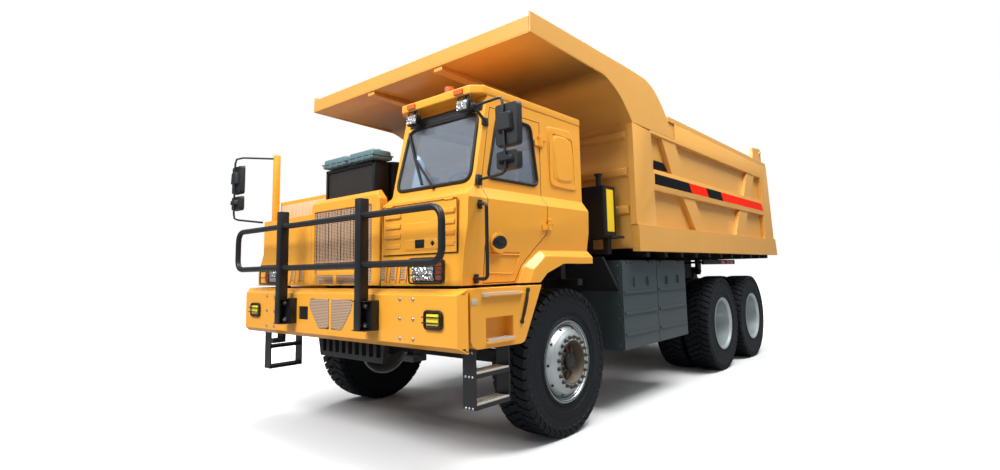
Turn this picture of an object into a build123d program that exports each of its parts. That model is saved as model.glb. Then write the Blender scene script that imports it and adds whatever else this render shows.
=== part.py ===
from build123d import *
import math
import os

# Mining dump truck, wide body, six wheels, offset cab. Millimetres.
# +X is the truck's left, the front faces -Y, +Z is up. In the sizes below y counts from
# the front axle's centre. Each node is moved by SHIFT as it is written, so that the
# origin lies on the ground at the middle of the length.

# ------------------------------------------------------------------ driving sizes
SEAT = 0.3                     # gap between pieces that only rest on each other
RUN = 0.05                     # radial gap between a pin and its bore
AXLE_Z = 680.0                 # height of every axle
TYRE_R = 680.0                 # tyre radius over the lugs
TYRE_W = 375.0
RIM_R = 380.0                  # rim flange, and the tyre's bead
RIM_W = 366.0
FRONT_TRACK_X = 1372.0         # middle of a front tyre
TWIN_OUT_X = 1463.0            # middle of an outer rear tyre
TWIN_PITCH = 433.0             # inner to outer tyre
REAR_1_Y = 4061.0
AXLE_PITCH = 1472.0            # first to second rear axle
KINGPIN_IN = 252.0              # kingpin inboard of the tyre's middle
KINGPIN_X = FRONT_TRACK_X - KINGPIN_IN

RAIL_X = 430.0                 # outside of a chassis rail
RAIL_W = 90.0
RAIL_T = 14.0
RAIL_Z = 1000.0
RAIL_H = 320.0
RAIL_FRONT_Y = -1400.0
RAIL_REAR_Y = 6310.0

BUMPER_Y = -1543.0             # front face of the bumper
BUMPER_X = 1703.0
BUMPER_FACE_Z = (989.0, 1361.0)
BUMPER_BACK = 62.7
BAR_GAP = 70.0                 # bumper face to the back of a bull bar post
BAR_POST = 90.0
BAR_X = 655.0
BAR_TOP_Z = 2165.0

CAB_IN_X = 562.0               # cab's inner wall, beside the engine
CAB_OUT_X = 1578.0             # outer wall above the waist
WAIST_X = 1650.0               # widest, at the waist line
WAIST_Z = 2107.0
CAB_FACE_Y = -1430.0
CAB_REAR_Y = 305.0
CAB_SKIN = 40.0
SILL_Z = 1432.0                # lowest edge of the cab and the fenders
ROOF_Z = 2985.0
ROOF_H = 77.0
DECK_Z = 2139.0                # deck on the right, above the fender

BED_FLOOR_Z = 1760.0           # underside of the floor plate
BED_WALL_X = 1668.0            # inside of the side walls
BED_WALL_T = 14.0
BED_OUT_X = 1754.0             # outside of posts and rails
BEAM_X = 1776.0                # outside of the bottom beam
BEAM_Z = 1719.0
BEAM_TOP_Z = 2018.0
BED_FRONT_Y = 1150.0
BED_REAR_Y = 6927.0            # rear end of the bottom beam, at its lower edge
BED_TOP_Z = 3388.0
CANOPY_FRONT_Y = -717.0
CANOPY_Z = 3605.0
LIP_H = 199.0                  # side plates above the canopy sheet
PIVOT_Y, PIVOT_Z = 6200.0, 1450.0
PIVOT_R = 40.0
HOIST_X = 230.0
HOIST_Y, HOIST_Z = PIVOT_Y - 700.0, 960.0
EYE_Y, EYE_Z = PIVOT_Y - 500.0, PIVOT_Z + 200.0
HOIST_R = 80.0
HOIST_PIN_R = 30.0
EYE_SLACK = 25.0               # the eye is where the linkage is opened, so its bore is wide
GATE_Y, GATE_Z = 6440.0, 3640.0
GATE_PIN_R = 25.0

BOX_Y = 959.0                  # front of the side box
BOX_L = 1739.0
BOX_Z = 655.0
BOX_GAP = 97.0                 # under the bed's bottom beam
BOX_H = BEAM_Z - BOX_GAP - BOX_Z
BOX_X = 1625.0
TANK_Y = 797.0
TANK_L = 248.0
MIRROR_X = 1950.0
TOW_X, TOW_Y, TOW_Z, TOW_R = 1100.0, -1480.0, 870.0, 25.0
TOW_T = 40.0

FRONT_Y = BUMPER_Y - BAR_GAP - BAR_POST
SHIFT = -(FRONT_Y + BED_REAR_Y) / 2
BOTH = (1, -1)                 # left and right

nodes = {}


# ------------------------------------------------------------------ shapes
def box(x, y, z):
    """Block between the two values of each pair."""
    size = [abs(b - a) for a, b in (x, y, z)]
    return Pos(sum(x) / 2, sum(y) / 2, sum(z) / 2) * Box(*size)


def side(points, x):
    """Outline in (y, z), drawn out along X over the pair x."""
    face = make_face(Polyline(*[(x[0], y, z) for y, z in points], close=True))
    return extrude(face, amount=x[1] - x[0], dir=(1, 0, 0))


def across(points, y):
    """Outline in (x, z), drawn out along Y."""
    face = make_face(Polyline(*[(px, y[0], z) for px, z in points], close=True))
    return extrude(face, amount=y[1] - y[0], dir=(0, 1, 0))


def plan(points, z):
    """Outline in (x, y), drawn out upwards."""
    face = make_face(Polyline(*[(px, py, z[0]) for px, py in points], close=True))
    return extrude(face, amount=z[1] - z[0], dir=(0, 0, 1))


def rod(a, b, r):
    """Round bar from point a to point b."""
    line = Vector(*b) - Vector(*a)
    end = Align.CENTER
    return Plane(origin=a, z_dir=line) * Cylinder(r, line.length, align=(end, end, Align.MIN))


def pin(x, y, z, length, r):
    """Round bar along X, centred on x."""
    return rod((x - length / 2, y, z), (x + length / 2, y, z), r)


def tube(points, r, bend):
    """Round bar bent through points."""
    path = FilletPolyline(*points, radius=bend)
    return sweep(Plane(origin=path @ 0, z_dir=path % 0) * Circle(r), path=path)


def turned(rows, x):
    """Solid of revolution about the X direction; rows of (offset from x, radius)."""
    face = make_face(Polyline(*[(x + o, 0, r) for o, r in rows], close=True))
    return revolve(face, axis=Axis.X)


def polygon_face(x, radii):
    """Regular face across X at x, one corner per value of radii."""
    n = len(radii)
    turn = [2 * math.pi * (i + 0.5) / n for i in range(n)]
    points = [(x, r * math.sin(t), -r * math.cos(t)) for r, t in zip(radii, turn)]
    return make_face(Polyline(*points, close=True))


def rounded(points, reach):
    """The closed outline with each corner turned by two short flats."""
    turned_points = []
    for i, (y, z) in enumerate(points):
        steps = []
        for other in (points[i - 1], points[(i + 1) % len(points)]):
            away = math.hypot(other[0] - y, other[1] - z)
            steps.append(((other[0] - y) * reach / away, (other[1] - z) * reach / away))
        (ay, az), (by, bz) = steps
        turned_points += [(y + ay, z + az), (y + 0.29 * (ay + by), z + 0.29 * (az + bz)), (y + by, z + bz)]
    return turned_points


def mirrored(shape):
    return shape.mirror(Plane.YZ)


def pair(shape):
    return fuse([shape, mirrored(shape)])


def sliced(shape, cuts):
    """The same weldment as solids that meet at the x values in cuts."""
    bounds = shape.bounding_box()
    low, high = bounds.min, bounds.max
    edges = [low.X - 1, *cuts, high.X + 1]
    parts = []
    for a, b in zip(edges, edges[1:]):
        parts += (shape & box((a, b), (low.Y - 1, high.Y + 1), (low.Z - 1, high.Z + 1))).solids()
    return Compound(parts)


def touching(shapes):
    """Solids that meet face to face, kept apart as separate solids of one node."""
    return Compound([solid for shape in shapes for solid in shape.solids()])


def fuse(shapes):
    whole = shapes[0]
    for shape in shapes[1:]:
        whole = whole + shape
    return whole


# ------------------------------------------------------------------ chassis
RAIL_TOP = RAIL_Z + RAIL_H
RAIL_IN_X = RAIL_X - RAIL_W
TANK_SHELF_Z = 1862.0


def rail():
    """Channel that opens inwards, with the ear for the bed's pivot at its end."""
    body = box((RAIL_IN_X, RAIL_X), (RAIL_FRONT_Y, RAIL_REAR_Y), (RAIL_Z, RAIL_TOP))
    body -= box((RAIL_IN_X - 1, RAIL_X - RAIL_T), (RAIL_FRONT_Y - 1, RAIL_REAR_Y + 1),
                (RAIL_Z + RAIL_T, RAIL_TOP - RAIL_T))
    ear = [(PIVOT_Y - 110, RAIL_TOP), (PIVOT_Y - 60, PIVOT_Z + 80), (PIVOT_Y + 60, PIVOT_Z + 80),
           (RAIL_REAR_Y, RAIL_TOP)]
    return body + side(ear, (RAIL_IN_X, RAIL_X))


CROSS_R = 50.0
HOIST_EAR_T = 20.0
CROSS_Y = (1150.0, 1900.0, 2650.0, 4797.0, 5900.0)
OUTRIGGER_Z = 1290.0
CAB_REAR_MOUNT_Y = 250.0
TANK_POST_Y = 900.0
frame = pair(rail())
for y in CROSS_Y:
    frame += pin(0, y, RAIL_Z + RAIL_H / 2, 2 * (RAIL_X - RAIL_T / 2), CROSS_R)
frame += pin(0, PIVOT_Y, PIVOT_Z, 2 * (RAIL_X + 110), PIVOT_R)
frame += pin(0, HOIST_Y, HOIST_Z, 2 * RAIL_IN_X + 2 * HOIST_EAR_T, HOIST_PIN_R)
for s in BOTH:
    ear = (s * RAIL_IN_X, s * (RAIL_IN_X + HOIST_EAR_T))
    frame += box(ear, (HOIST_Y - 60, HOIST_Y + 60), (HOIST_Z - 60, RAIL_Z + RAIL_T))
beam_y = (BUMPER_Y + BUMPER_BACK + SEAT, RAIL_FRONT_Y)
frame += box((-1250, 1250), beam_y, (RAIL_Z + 30, RAIL_TOP + 10))
CAB_MOUNT_X = 1510.0
for s in BOTH:
    # tow eye under the front beam, then arms for the cab or deck, box, tank and shelf
    eye_x = (s * (TOW_X - 60), s * (TOW_X + 60))
    eye = box(eye_x, (TOW_Y - 55, beam_y[1]), (TOW_Z - TOW_T / 2, TOW_Z + TOW_T / 2))
    eye += box(eye_x, (beam_y[1] - 30, beam_y[1]), (TOW_Z, RAIL_Z + 30))
    frame += eye - rod((s * TOW_X, TOW_Y, TOW_Z - TOW_T), (s * TOW_X, TOW_Y, TOW_Z + TOW_T), TOW_R)
    frame += box((s * RAIL_X, s * (1560 - SEAT)), (-1180, -1120), (OUTRIGGER_Z, OUTRIGGER_Z + 70))
    frame += box((s * (CAB_MOUNT_X - 30), s * (CAB_MOUNT_X + 30)), (-1180, -1120),
                 (OUTRIGGER_Z + 70, SILL_Z - SEAT))
    arm_y = (CAB_REAR_MOUNT_Y - 40, CAB_REAR_MOUNT_Y + 40)
    frame += box((s * RAIL_X, s * 1560), arm_y, (RAIL_TOP + 60, RAIL_TOP + 120))
    frame += box((s * RAIL_X, s * (RAIL_X + 70)), arm_y, (RAIL_Z + 200, RAIL_TOP + 120))
    for y in (BOX_Y + 290, BOX_Y + 1390):
        frame += box((s * RAIL_X, s * 1100), (y - 40, y + 40), (RAIL_Z + 180, RAIL_TOP - 20))
    post_y = (TANK_POST_Y - 40, TANK_POST_Y + 40)
    frame += box((s * RAIL_X, s * (RAIL_X + 60)), post_y, (RAIL_Z + 200, TANK_SHELF_Z - 122))
    frame += box((s * RAIL_X, s * 1540), post_y, (TANK_SHELF_Z - 172, TANK_SHELF_Z - 122))
    for x in (1280, 1510):
        frame += box((s * (x - 30), s * (x + 30)), post_y, (TANK_SHELF_Z - 122, TANK_SHELF_Z))
CAB_UNDER_Z = 1710.0
for x in (730, 1330):
    frame += box((x - 30, x + 30), (CAB_REAR_MOUNT_Y - 40, CAB_REAR_MOUNT_Y + 40),
                 (RAIL_TOP + 120, CAB_UNDER_Z - SEAT))
frame += box((-1498, -1482), (CAB_REAR_MOUNT_Y - 40, CAB_REAR_MOUNT_Y + 10),
             (RAIL_TOP + 120, CAB_UNDER_Z + 9))
JAW_Y, JAW_Z = RAIL_REAR_Y + 115, RAIL_Z + 120
tail = box((-RAIL_X, RAIL_X), (RAIL_REAR_Y, RAIL_REAR_Y + 40), (RAIL_Z, RAIL_TOP))
for s in BOTH:
    tail += box((s * 60, s * 100), (RAIL_REAR_Y + 40, JAW_Y + 45), (JAW_Z - 60, JAW_Z + 60))
frame += tail - pin(0, JAW_Y, JAW_Z, 240, TOW_R)
nodes["chassis_frame"] = sliced(frame, (-RAIL_X, -RAIL_IN_X, RAIL_IN_X, RAIL_X))

engine = box((-RAIL_IN_X + SEAT, RAIL_IN_X - SEAT), (-1080, 330), (1010, 1880))
shaft_z = AXLE_Z + 80
drive = box((-210, 210), (330 + SEAT, 1050), (900, 1300))
drive += rod((0, 1050, 1000), (0, REAR_1_Y - 255, shaft_z), 55)
nodes["engine_block"] = fuse([engine, drive])

# ------------------------------------------------------------------ front axle
BOSS_H = 160.0
YOKE_GAP = 5.0
KINGPIN_R = 25.0
SPINDLE_R = 60.0
SPRING_X = 385.0
axle = box((-KINGPIN_X, KINGPIN_X), (-60, 60), (AXLE_Z - 80, AXLE_Z + 40))
for s in BOTH:
    x = s * KINGPIN_X
    axle += rod((x, 0, AXLE_Z - BOSS_H / 2), (x, 0, AXLE_Z + BOSS_H / 2), 70)
    axle -= rod((x, 0, AXLE_Z - BOSS_H), (x, 0, AXLE_Z + BOSS_H), KINGPIN_R + RUN)
    leaf = [(-760, RAIL_Z), (-760, RAIL_Z - 60), (-400, AXLE_Z + 160), (-80, AXLE_Z + 100),
            (-80, AXLE_Z + 40), (80, AXLE_Z + 40), (80, AXLE_Z + 100), (400, AXLE_Z + 160),
            (760, RAIL_Z - 60), (760, RAIL_Z), (700, RAIL_Z), (380, RAIL_Z - 100),
            (-380, RAIL_Z - 100), (-700, RAIL_Z)]
    axle += side(leaf, (s * (SPRING_X - 40), s * (SPRING_X + 40)))
nodes["front_axle"] = sliced(axle, (-SPRING_X - 40, -SPRING_X + 40, SPRING_X - 40, SPRING_X + 40))


def knuckle():
    """Fork over the axle's boss with its kingpin, stub shaft and steering arm."""
    x, half = KINGPIN_X, BOSS_H / 2 + YOKE_GAP
    body = rod((x, 0, AXLE_Z - half - 40), (x, 0, AXLE_Z + half + 40), KINGPIN_R)
    for s in BOTH:
        body += box((x - 60, x + 125), (-70, 70), (AXLE_Z + s * half, AXLE_Z + s * (half + 50)))
    body += box((x + 80, x + 125), (-70, 70), (AXLE_Z - half - 50, AXLE_Z + half + 50))
    body += rod((x + 100, 0, AXLE_Z), (FRONT_TRACK_X + 20, 0, AXLE_Z), SPINDLE_R)
    return body + box((x - 60, x + 20), (60, 330), (AXLE_Z - half - 45, AXLE_Z - half - 5))


nodes["knuckle_left"] = knuckle()
nodes["knuckle_right"] = mirrored(knuckle())

# ------------------------------------------------------------------ wheels
LUGS = 20
LUG_SHARE = 0.6                # of each pitch that is lug
LUG_DEPTH = 26.0
SHOULDER = 27.0


def tyre(x):
    """Flat-faced carcass with bars across the tread, seated on a straight rim."""
    crest = TYRE_R / math.cos(math.pi * LUG_SHARE / LUGS)
    root = TYRE_R - LUG_DEPTH
    points = []
    for i in range(LUGS):
        for edge, r in ((-1, root), (-1, crest), (1, crest), (1, root)):
            t = 2 * math.pi * (i + edge * LUG_SHARE / 2) / LUGS
            points.append((x - TYRE_W / 2 + SHOULDER, r * math.sin(t), -r * math.cos(t)))
    tread = make_face(Polyline(*points, close=True))
    body = extrude(tread, amount=TYRE_W - 2 * SHOULDER, dir=(1, 0, 0))
    hoops = ((TYRE_W / 2 - SHOULDER, root), (TYRE_W / 2, 560), (RIM_W / 2 + 2, RIM_R + 25))
    for s in BOTH:
        for (o1, r1), (o2, r2) in zip(hoops, hoops[1:]):
            faces = [polygon_face(x + s * o, [r] * LUGS) for o, r in ((o1, r1), (o2, r2))]
            body += loft(faces, ruled=True)
    bore = (RIM_R + SEAT) / math.cos(math.pi / LUGS)
    hole = extrude(polygon_face(x - TYRE_W, [bore] * LUGS), amount=2 * TYRE_W, dir=(1, 0, 0))
    return Pos(0, 0, AXLE_Z) * (body - hole)


def barrel(x):
    b = RIM_W / 2
    rows = [(-b, RIM_R), (-b, RIM_R - 18), (-b + 30, RIM_R - 45), (b - 30, RIM_R - 45),
            (b, RIM_R - 18), (b, RIM_R)]
    return turned(rows, x)


DISC_R = RIM_R - 40
HUB_R = 205.0                  # the round opening in the front disc, filled by the hub
FACE = 228.0                   # the disc's nut face, out from the tyre's middle
front = barrel(FRONT_TRACK_X)
disc = [(60, DISC_R), (90, DISC_R), (150, 324), (198, 290), (FACE - 6, 254), (FACE, HUB_R + 35),
        (FACE, HUB_R), (FACE - 28, HUB_R), (FACE - 32, HUB_R + 33), (174, 272), (130, 302)]
front += turned(disc, FRONT_TRACK_X)
hub = [(-90, SPINDLE_R + RUN), (-90, 150), (60, 150), (110, HUB_R - 12), (160, HUB_R), (FACE + 4, HUB_R),
       (FACE + 8, HUB_R - 6), (FACE + 8, HUB_R - 12), (142, HUB_R - 34), (134, HUB_R - 60), (130, 84),
       (200, 74), (212, 60), (212, 0), (26, 0), (26, SPINDLE_R + RUN)]
front += turned(hub, FRONT_TRACK_X)
front = Pos(0, 0, AXLE_Z) * front
nodes["tyre_front_left"] = tyre(FRONT_TRACK_X)
nodes["tyre_front_right"] = mirrored(tyre(FRONT_TRACK_X))
nodes["rim_front_left"] = front
nodes["rim_front_right"] = mirrored(front)

TWIN_IN_X = TWIN_OUT_X - TWIN_PITCH
REAR_Y = (REAR_1_Y, REAR_1_Y + AXLE_PITCH)
STUB_R = 90.0
twin = tyre(TWIN_IN_X) + tyre(TWIN_OUT_X)
rims = barrel(TWIN_IN_X) + barrel(TWIN_OUT_X)
mid = TWIN_PITCH / 2
dish = [(-40, 200), (-40, 250), (-80, DISC_R), (-50, DISC_R), (-12, 260), (12, 260), (50, DISC_R),
        (80, DISC_R), (40, 250), (40, 200)]
rims += turned(dish, TWIN_IN_X + mid)
drum = [(-120, STUB_R + RUN), (-120, 201), (300, 201), (380, 150), (400, 120), (400, 0),
        (292, 0), (292, STUB_R + RUN)]
rims += turned(drum, TWIN_IN_X)
rims = Pos(0, 0, AXLE_Z) * rims
for number, y in enumerate(REAR_Y, 1):
    for name, shape in (("tyres", twin), ("rims", rims)):
        placed = Pos(0, y, 0) * shape
        nodes["%s_rear_%d_left" % (name, number)] = placed
        nodes["%s_rear_%d_right" % (name, number)] = mirrored(placed)

TUBE_R = 125.0
HOUSING = ((90, 235.0), (150, 200.0))
BOGIE_X = 560.0
rear = rod((0, REAR_Y[0], shaft_z), (0, REAR_Y[1], shaft_z), 55)
for y in REAR_Y:
    stub_x = TWIN_IN_X + 260
    rear += pin(0, y, AXLE_Z, 2 * stub_x, STUB_R)
    rear += pin(0, y, AXLE_Z, 2 * (TWIN_IN_X - 210), TUBE_R)
    for depth, radius in HOUSING:
        rear += rod((0, y - depth, AXLE_Z), (0, y + depth, AXLE_Z), radius)
    for s in BOTH:
        rear += box((s * (BOGIE_X - 60), s * (BOGIE_X + 60)), (y - 90, y + 90),
                    (AXLE_Z + 100, AXLE_Z + 200))
middle = sum(REAR_Y) / 2
half = AXLE_PITCH / 2
low, high = AXLE_Z + 190, AXLE_Z + 380
stack = [(middle - half - 100, low), (middle - 240, high - 100), (middle + 240, high - 100),
         (middle + half + 100, low), (middle + half + 100, low + 50), (middle + 240, high),
         (middle - 240, high), (middle - half - 100, low + 50)]
for s in BOTH:
    rear += side(stack, (s * (BOGIE_X - 50), s * (BOGIE_X + 50)))
    rear += box((s * (RAIL_X + SEAT), s * (BOGIE_X + 60)), (middle - 100, middle + 100),
                (RAIL_Z, RAIL_Z + 190))
nodes["rear_axles"] = sliced(rear, (-BOGIE_X - 60, -BOGIE_X + 60, BOGIE_X - 60, BOGIE_X + 60))

# ------------------------------------------------------------------ engine end
CORE_X, CORE_Y, CORE_TOP = 365.0, (-1335.0, -1200.0), 2545.0
core = box((-CORE_X, CORE_X), CORE_Y, (RAIL_TOP + SEAT, CORE_TOP))
post_x = CORE_X + 35
for s in BOTH:
    core += box((s * CORE_X, s * post_x), (CORE_Y[0] - 10, CORE_Y[1] + 10), (RAIL_TOP + SEAT, CORE_TOP))
core += box((-post_x, post_x), (CORE_Y[0] - 10, CORE_Y[1] + 10), (CORE_TOP, CORE_TOP + 30))
nodes["radiator"] = core
tanks = []
for x0, x1 in ((-400, -4), (4, 440)):
    lower = box((x0, x1), (CORE_Y[0] - 65, CORE_Y[1] + 40), (CORE_TOP + 30 + SEAT, CORE_TOP + 80))
    upper = box((x0 + 24, x1 - 24), (CORE_Y[0] - 45, CORE_Y[1] + 20), (CORE_TOP + 80, CORE_TOP + 125))
    cap_x, cap_y = (x0 + x1) / 2, sum(CORE_Y) / 2
    cap = rod((cap_x, cap_y, CORE_TOP + 125), (cap_x, cap_y, CORE_TOP + 150), 30)
    tanks.append(lower + upper + cap)
nodes["coolant_tanks"] = fuse(tanks)
CLEAN_X, CLEAN_Y, CLEAN_R = 265.0, -1030.0, 112.0
cleaner = rod((CLEAN_X, CLEAN_Y, 2170), (CLEAN_X, CLEAN_Y, 2560), CLEAN_R)
cleaner += rod((CLEAN_X, CLEAN_Y, 2560), (CLEAN_X, CLEAN_Y, 2600), CLEAN_R + 10)
nodes["air_cleaner"] = cleaner + rod((CLEAN_X, CLEAN_Y, 1880 + SEAT), (CLEAN_X, CLEAN_Y, 2170), 60)

HOOD_X = (-520.0, 590.0)
HOOD_TOP = 2239.0
GRILLE_X = 470.0
GRILLE_Z = (1450.0, 2155.0)
hood_back = CORE_Y[0] - 10.5
hood = side([(CAB_FACE_Y, SILL_Z), (CAB_FACE_Y, HOOD_TOP), (CAB_FACE_Y + 30, HOOD_TOP + 36),
             (hood_back, HOOD_TOP + 51), (hood_back, SILL_Z)], HOOD_X)
hood -= across([(HOOD_X[0] - 1, HOOD_TOP + 60), (HOOD_X[0] - 1, HOOD_TOP - 30),
                (HOOD_X[0] + 60, HOOD_TOP + 60)], (CAB_FACE_Y - 10, hood_back + 10))
hood -= across([(HOOD_X[1] + 1, HOOD_TOP + 60), (HOOD_X[1] + 1, HOOD_TOP - 40),
                (HOOD_X[1] - 90, HOOD_TOP + 60)], (CAB_FACE_Y - 10, hood_back + 10))
hood -= box((-GRILLE_X, GRILLE_X), (CAB_FACE_Y - 70, hood_back + 10), GRILLE_Z)
engine_lid_z = DECK_Z - 39
lid = box((HOOD_X[0], 545), (CORE_Y[1] + 20, 250), (engine_lid_z, DECK_Z - 4))
lid -= rod((CLEAN_X, CLEAN_Y, 2000), (CLEAN_X, CLEAN_Y, 2300), CLEAN_R + 12)
lid += box((HOOD_X[0], HOOD_X[0] + 30), (CAB_FACE_Y + 30, 250), (1900, DECK_Z - 4))
nodes["hood"] = hood + lid

# grille: a folded sheet with upright corrugations, and the two small ones behind the bumper
RIBS = 18
grille = box((-GRILLE_X + SEAT, GRILLE_X - SEAT), (CAB_FACE_Y + 12, CAB_FACE_Y + 18),
             (GRILLE_Z[0] + SEAT, GRILLE_Z[1] - SEAT))
rib_pitch = 2 * GRILLE_X / RIBS
for i in range(RIBS):
    x = -GRILLE_X + (i + 0.5) * rib_pitch
    grille += box((x - 9, x + 9), (CAB_FACE_Y + 4, CAB_FACE_Y + 12), (GRILLE_Z[0] + 110, GRILLE_Z[1] - 12))
VENT_MID_X = 15.0
VENT = ((20, 1043), (170, 1043), (340, 1250), (340, 1316), (20, 1316))
back = BUMPER_Y + BUMPER_BACK
grille += box((VENT_MID_X - 360, VENT_MID_X + 360), (back - 6, back), (1025, 1335))
nodes["grille_mesh"] = grille

# ------------------------------------------------------------------ bumper and bull bar
low, high = BUMPER_FACE_Z
profile = [(BUMPER_Y, low), (BUMPER_Y, high), (back, high + 49), (back, high + 43),
           (BUMPER_Y + 12, high - 3), (BUMPER_Y + 12, low + 4), (back, low - 36), (back, low - 44)]
bumper = side(profile, (-BUMPER_X, BUMPER_X))
for s in BOTH:
    bumper += box((s * (BUMPER_X - 12), s * BUMPER_X), (BUMPER_Y + 3, back), (low - 20, high + 20))
    corner = [(s * (BUMPER_X - 54), BUMPER_Y - 1), (s * (BUMPER_X + 1), BUMPER_Y - 1),
              (s * (BUMPER_X + 1), back)]
    bumper -= plan(corner, (low - 60, high + 60))
    bumper += plan([(s * (BUMPER_X - 54), BUMPER_Y), (s * BUMPER_X, back), (s * (BUMPER_X - 12), back),
                    (s * (BUMPER_X - 62), BUMPER_Y + 8)], (low - 5, high + 8))
    opening = [(VENT_MID_X + s * x, z) for x, z in VENT]
    bumper -= across(opening, (BUMPER_Y - 10, BUMPER_Y + 13))
    bumper += box((s * (TOW_X - 60), s * (TOW_X + 60)), (BUMPER_Y + 12, back), (low + 60, high - 60))
bumper -= box((-533, -365), (BUMPER_Y - 10, BUMPER_Y + 13), (1115, 1240))
nodes["front_bumper"] = bumper

TUBE_BAR_R = 27.5
BAR_TUBE_Z = (1611.0, 2018.0)
BAR_HALF = 1650.0
BAR_BEND = 110.0
SHOE_X = 86.0
SHOE_Z = (1075.0, 1318.0)
PLATE_T = 10.0
bar_y = BUMPER_Y - BAR_GAP - BAR_POST / 2
bars = []
for s in BOTH:
    x = s * BAR_X
    post = box((x - BAR_POST / 2, x + BAR_POST / 2), (bar_y - BAR_POST / 2, bar_y + BAR_POST / 2),
               (1080, BAR_TOP_Z))
    shoe = box((x - SHOE_X, x + SHOE_X), (BUMPER_Y - BAR_GAP, BUMPER_Y - SEAT), SHOE_Z)
    shoe -= box((x - SHOE_X + PLATE_T, x + SHOE_X - PLATE_T), (BUMPER_Y - BAR_GAP - 1, BUMPER_Y - PLATE_T),
                (SHOE_Z[0] + PLATE_T, SHOE_Z[1] - PLATE_T))
    bars += [post, shoe]
lower, upper = BAR_TUBE_Z
half_hoop = [(0, bar_y, upper), (BAR_HALF, bar_y, upper), (BAR_HALF, bar_y, lower), (0, bar_y, lower)]
bars.append(pair(tube(half_hoop, TUBE_BAR_R, BAR_BEND)))
nodes["bull_bar"] = fuse(bars)

GUARD_Y = RAIL_FRONT_Y + 1
guard = across([(-430, RAIL_Z - SEAT), (630, RAIL_Z - SEAT), (600, 770), (-370, 770)],
               (GUARD_Y, GUARD_Y + 50))
for i in range(9):
    x = -330 + i * 105
    guard -= box((x, x + 60), (GUARD_Y - 1, GUARD_Y + 51), (815, 930))
nodes["under_guard"] = guard

# ------------------------------------------------------------------ left and right front corners
FLARE_X = 1680.0
FLARE_IN_X = 1622.0
ARCH = [(CAB_REAR_Y, 1587), (-198, 1590), (-461, 1506), (-560, SILL_Z)]
flare_in = [(-805.6, SILL_Z), (-721.6, 1572.8), (-489.8, CAB_UNDER_Z - 2.3),
            (CAB_REAR_Y, CAB_UNDER_Z - SEAT)] + ARCH
flare_out = [(-706, SILL_Z), (-654, 1537), (-474, 1656), (CAB_REAR_Y, 1651)] + ARCH


def flare():
    """Fender over the front wheel: a flat-topped arch whose upper face slopes outwards."""
    body = side(flare_in, (1500, FLARE_IN_X))
    faces = []
    for x, outline in ((FLARE_IN_X, flare_in), (FLARE_X, flare_out)):
        faces.append(make_face(Polyline(*[(x, y, z) for y, z in outline], close=True)))
    body += loft(faces, ruled=True)
    hollow = [(-700, SILL_Z - 1), (-640, 1540), (-470, 1640), (CAB_REAR_Y - 40, 1660),
              (CAB_REAR_Y - 40, 1560), (-420, 1400)]
    return body - side(hollow, (1480, FLARE_X - 40))


nodes["left_fender"] = flare()
fender = side([(CAB_FACE_Y, SILL_Z), (CAB_FACE_Y, DECK_Z), (260, DECK_Z), (260, CAB_UNDER_Z + 10),
               (-480, CAB_UNDER_Z - 4),
               (-735, 1573), (-800, SILL_Z)], (-1510, HOOD_X[0] - SEAT))
fender -= side([(CAB_FACE_Y + 30, SILL_Z - 30), (CAB_FACE_Y + 30, DECK_Z - 30), (290, DECK_Z - 30),
                (290, 1600),
                (-460, 1690), (-700, 1560), (-770, SILL_Z - 30)], (-1480, HOOD_X[0] - 30))
fender += across([(-1510, SILL_Z), (-1612, SILL_Z), (-1618, 1570), (-1510, 1774)], (CAB_FACE_Y, -806))
nodes["right_fender"] = fender + mirrored(flare())

PANEL_X = 1690.0
PANEL_TOP = 1411.0
PANEL = [(-1444, PANEL_TOP), (-1444, 1027), (-1420, 985), (-1370, 963), (-862, 950), (-812, 962),
         (-787, 998),
         (-560, PANEL_TOP)]
POCKET_Y, POCKET_Z = (-1275, -955), (1000, 1183)


def step_panel():
    """Panel below the door with a foothold let into it and two treads."""
    body = side(PANEL, (1560, PANEL_X))
    body -= box((1600, PANEL_X + 1), POCKET_Y, POCKET_Z)
    body += box((1600, PANEL_X + 22), POCKET_Y, (POCKET_Z[0] - 12, POCKET_Z[0] + 12))
    return body + box((PANEL_X, PANEL_X + 32), (-1273, -837), (PANEL_TOP - 66, PANEL_TOP - 46))


nodes["left_step_panel"] = step_panel()
nodes["right_step_panel"] = mirrored(step_panel())

LADDER_X = (1560.0, 1690.0)
TREADS = 2


def ladder(y0, length, foot):
    """Two hanging plates with treads between them."""
    y1 = y0 + length
    top = 963 - SEAT
    body = box(LADDER_X, (y0, y0 + 12), (foot, top)) + box(LADDER_X, (y1 - 12, y1), (foot, 955 - SEAT))
    pitch = 222.0
    for i in range(TREADS):
        z = foot + 12 + i * pitch
        tread = box(LADDER_X, (y0, y1), (z - 12, z + 20))
        for k in range(6):
            y = y0 + 30 + k * (length - 60) / 6
            tread -= box((LADDER_X[0] + 15, LADDER_X[1] - 15), (y + 6, y + (length - 60) / 6 - 6),
                         (z - 13, z + 21))
        body += tread
    return body


panel_cut = side(PANEL, (LADDER_X[0] - 20, PANEL_X + 20))
left_ladder = ladder(-1400, 390, 535) - panel_cut
right_ladder = mirrored(ladder(-1300, 379, 510) - panel_cut)
nodes["ladders"] = fuse([left_ladder, right_ladder])

DECK_BOX_Y = (-1200.0, -330.0)
deck = box((-1600, -560), DECK_BOX_Y, (DECK_Z + SEAT, 2385))
deck -= box((-1590, -570), (DECK_BOX_Y[0] - 1, DECK_BOX_Y[0] + 14), (DECK_Z + 30, 2345))
for i in range(14):
    x = -1590 + i * 74
    deck += box((x, x + 37), (DECK_BOX_Y[0] + 4, DECK_BOX_Y[0] + 16), (DECK_Z + 20, 2350))
nodes["deck_box"] = deck

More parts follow.
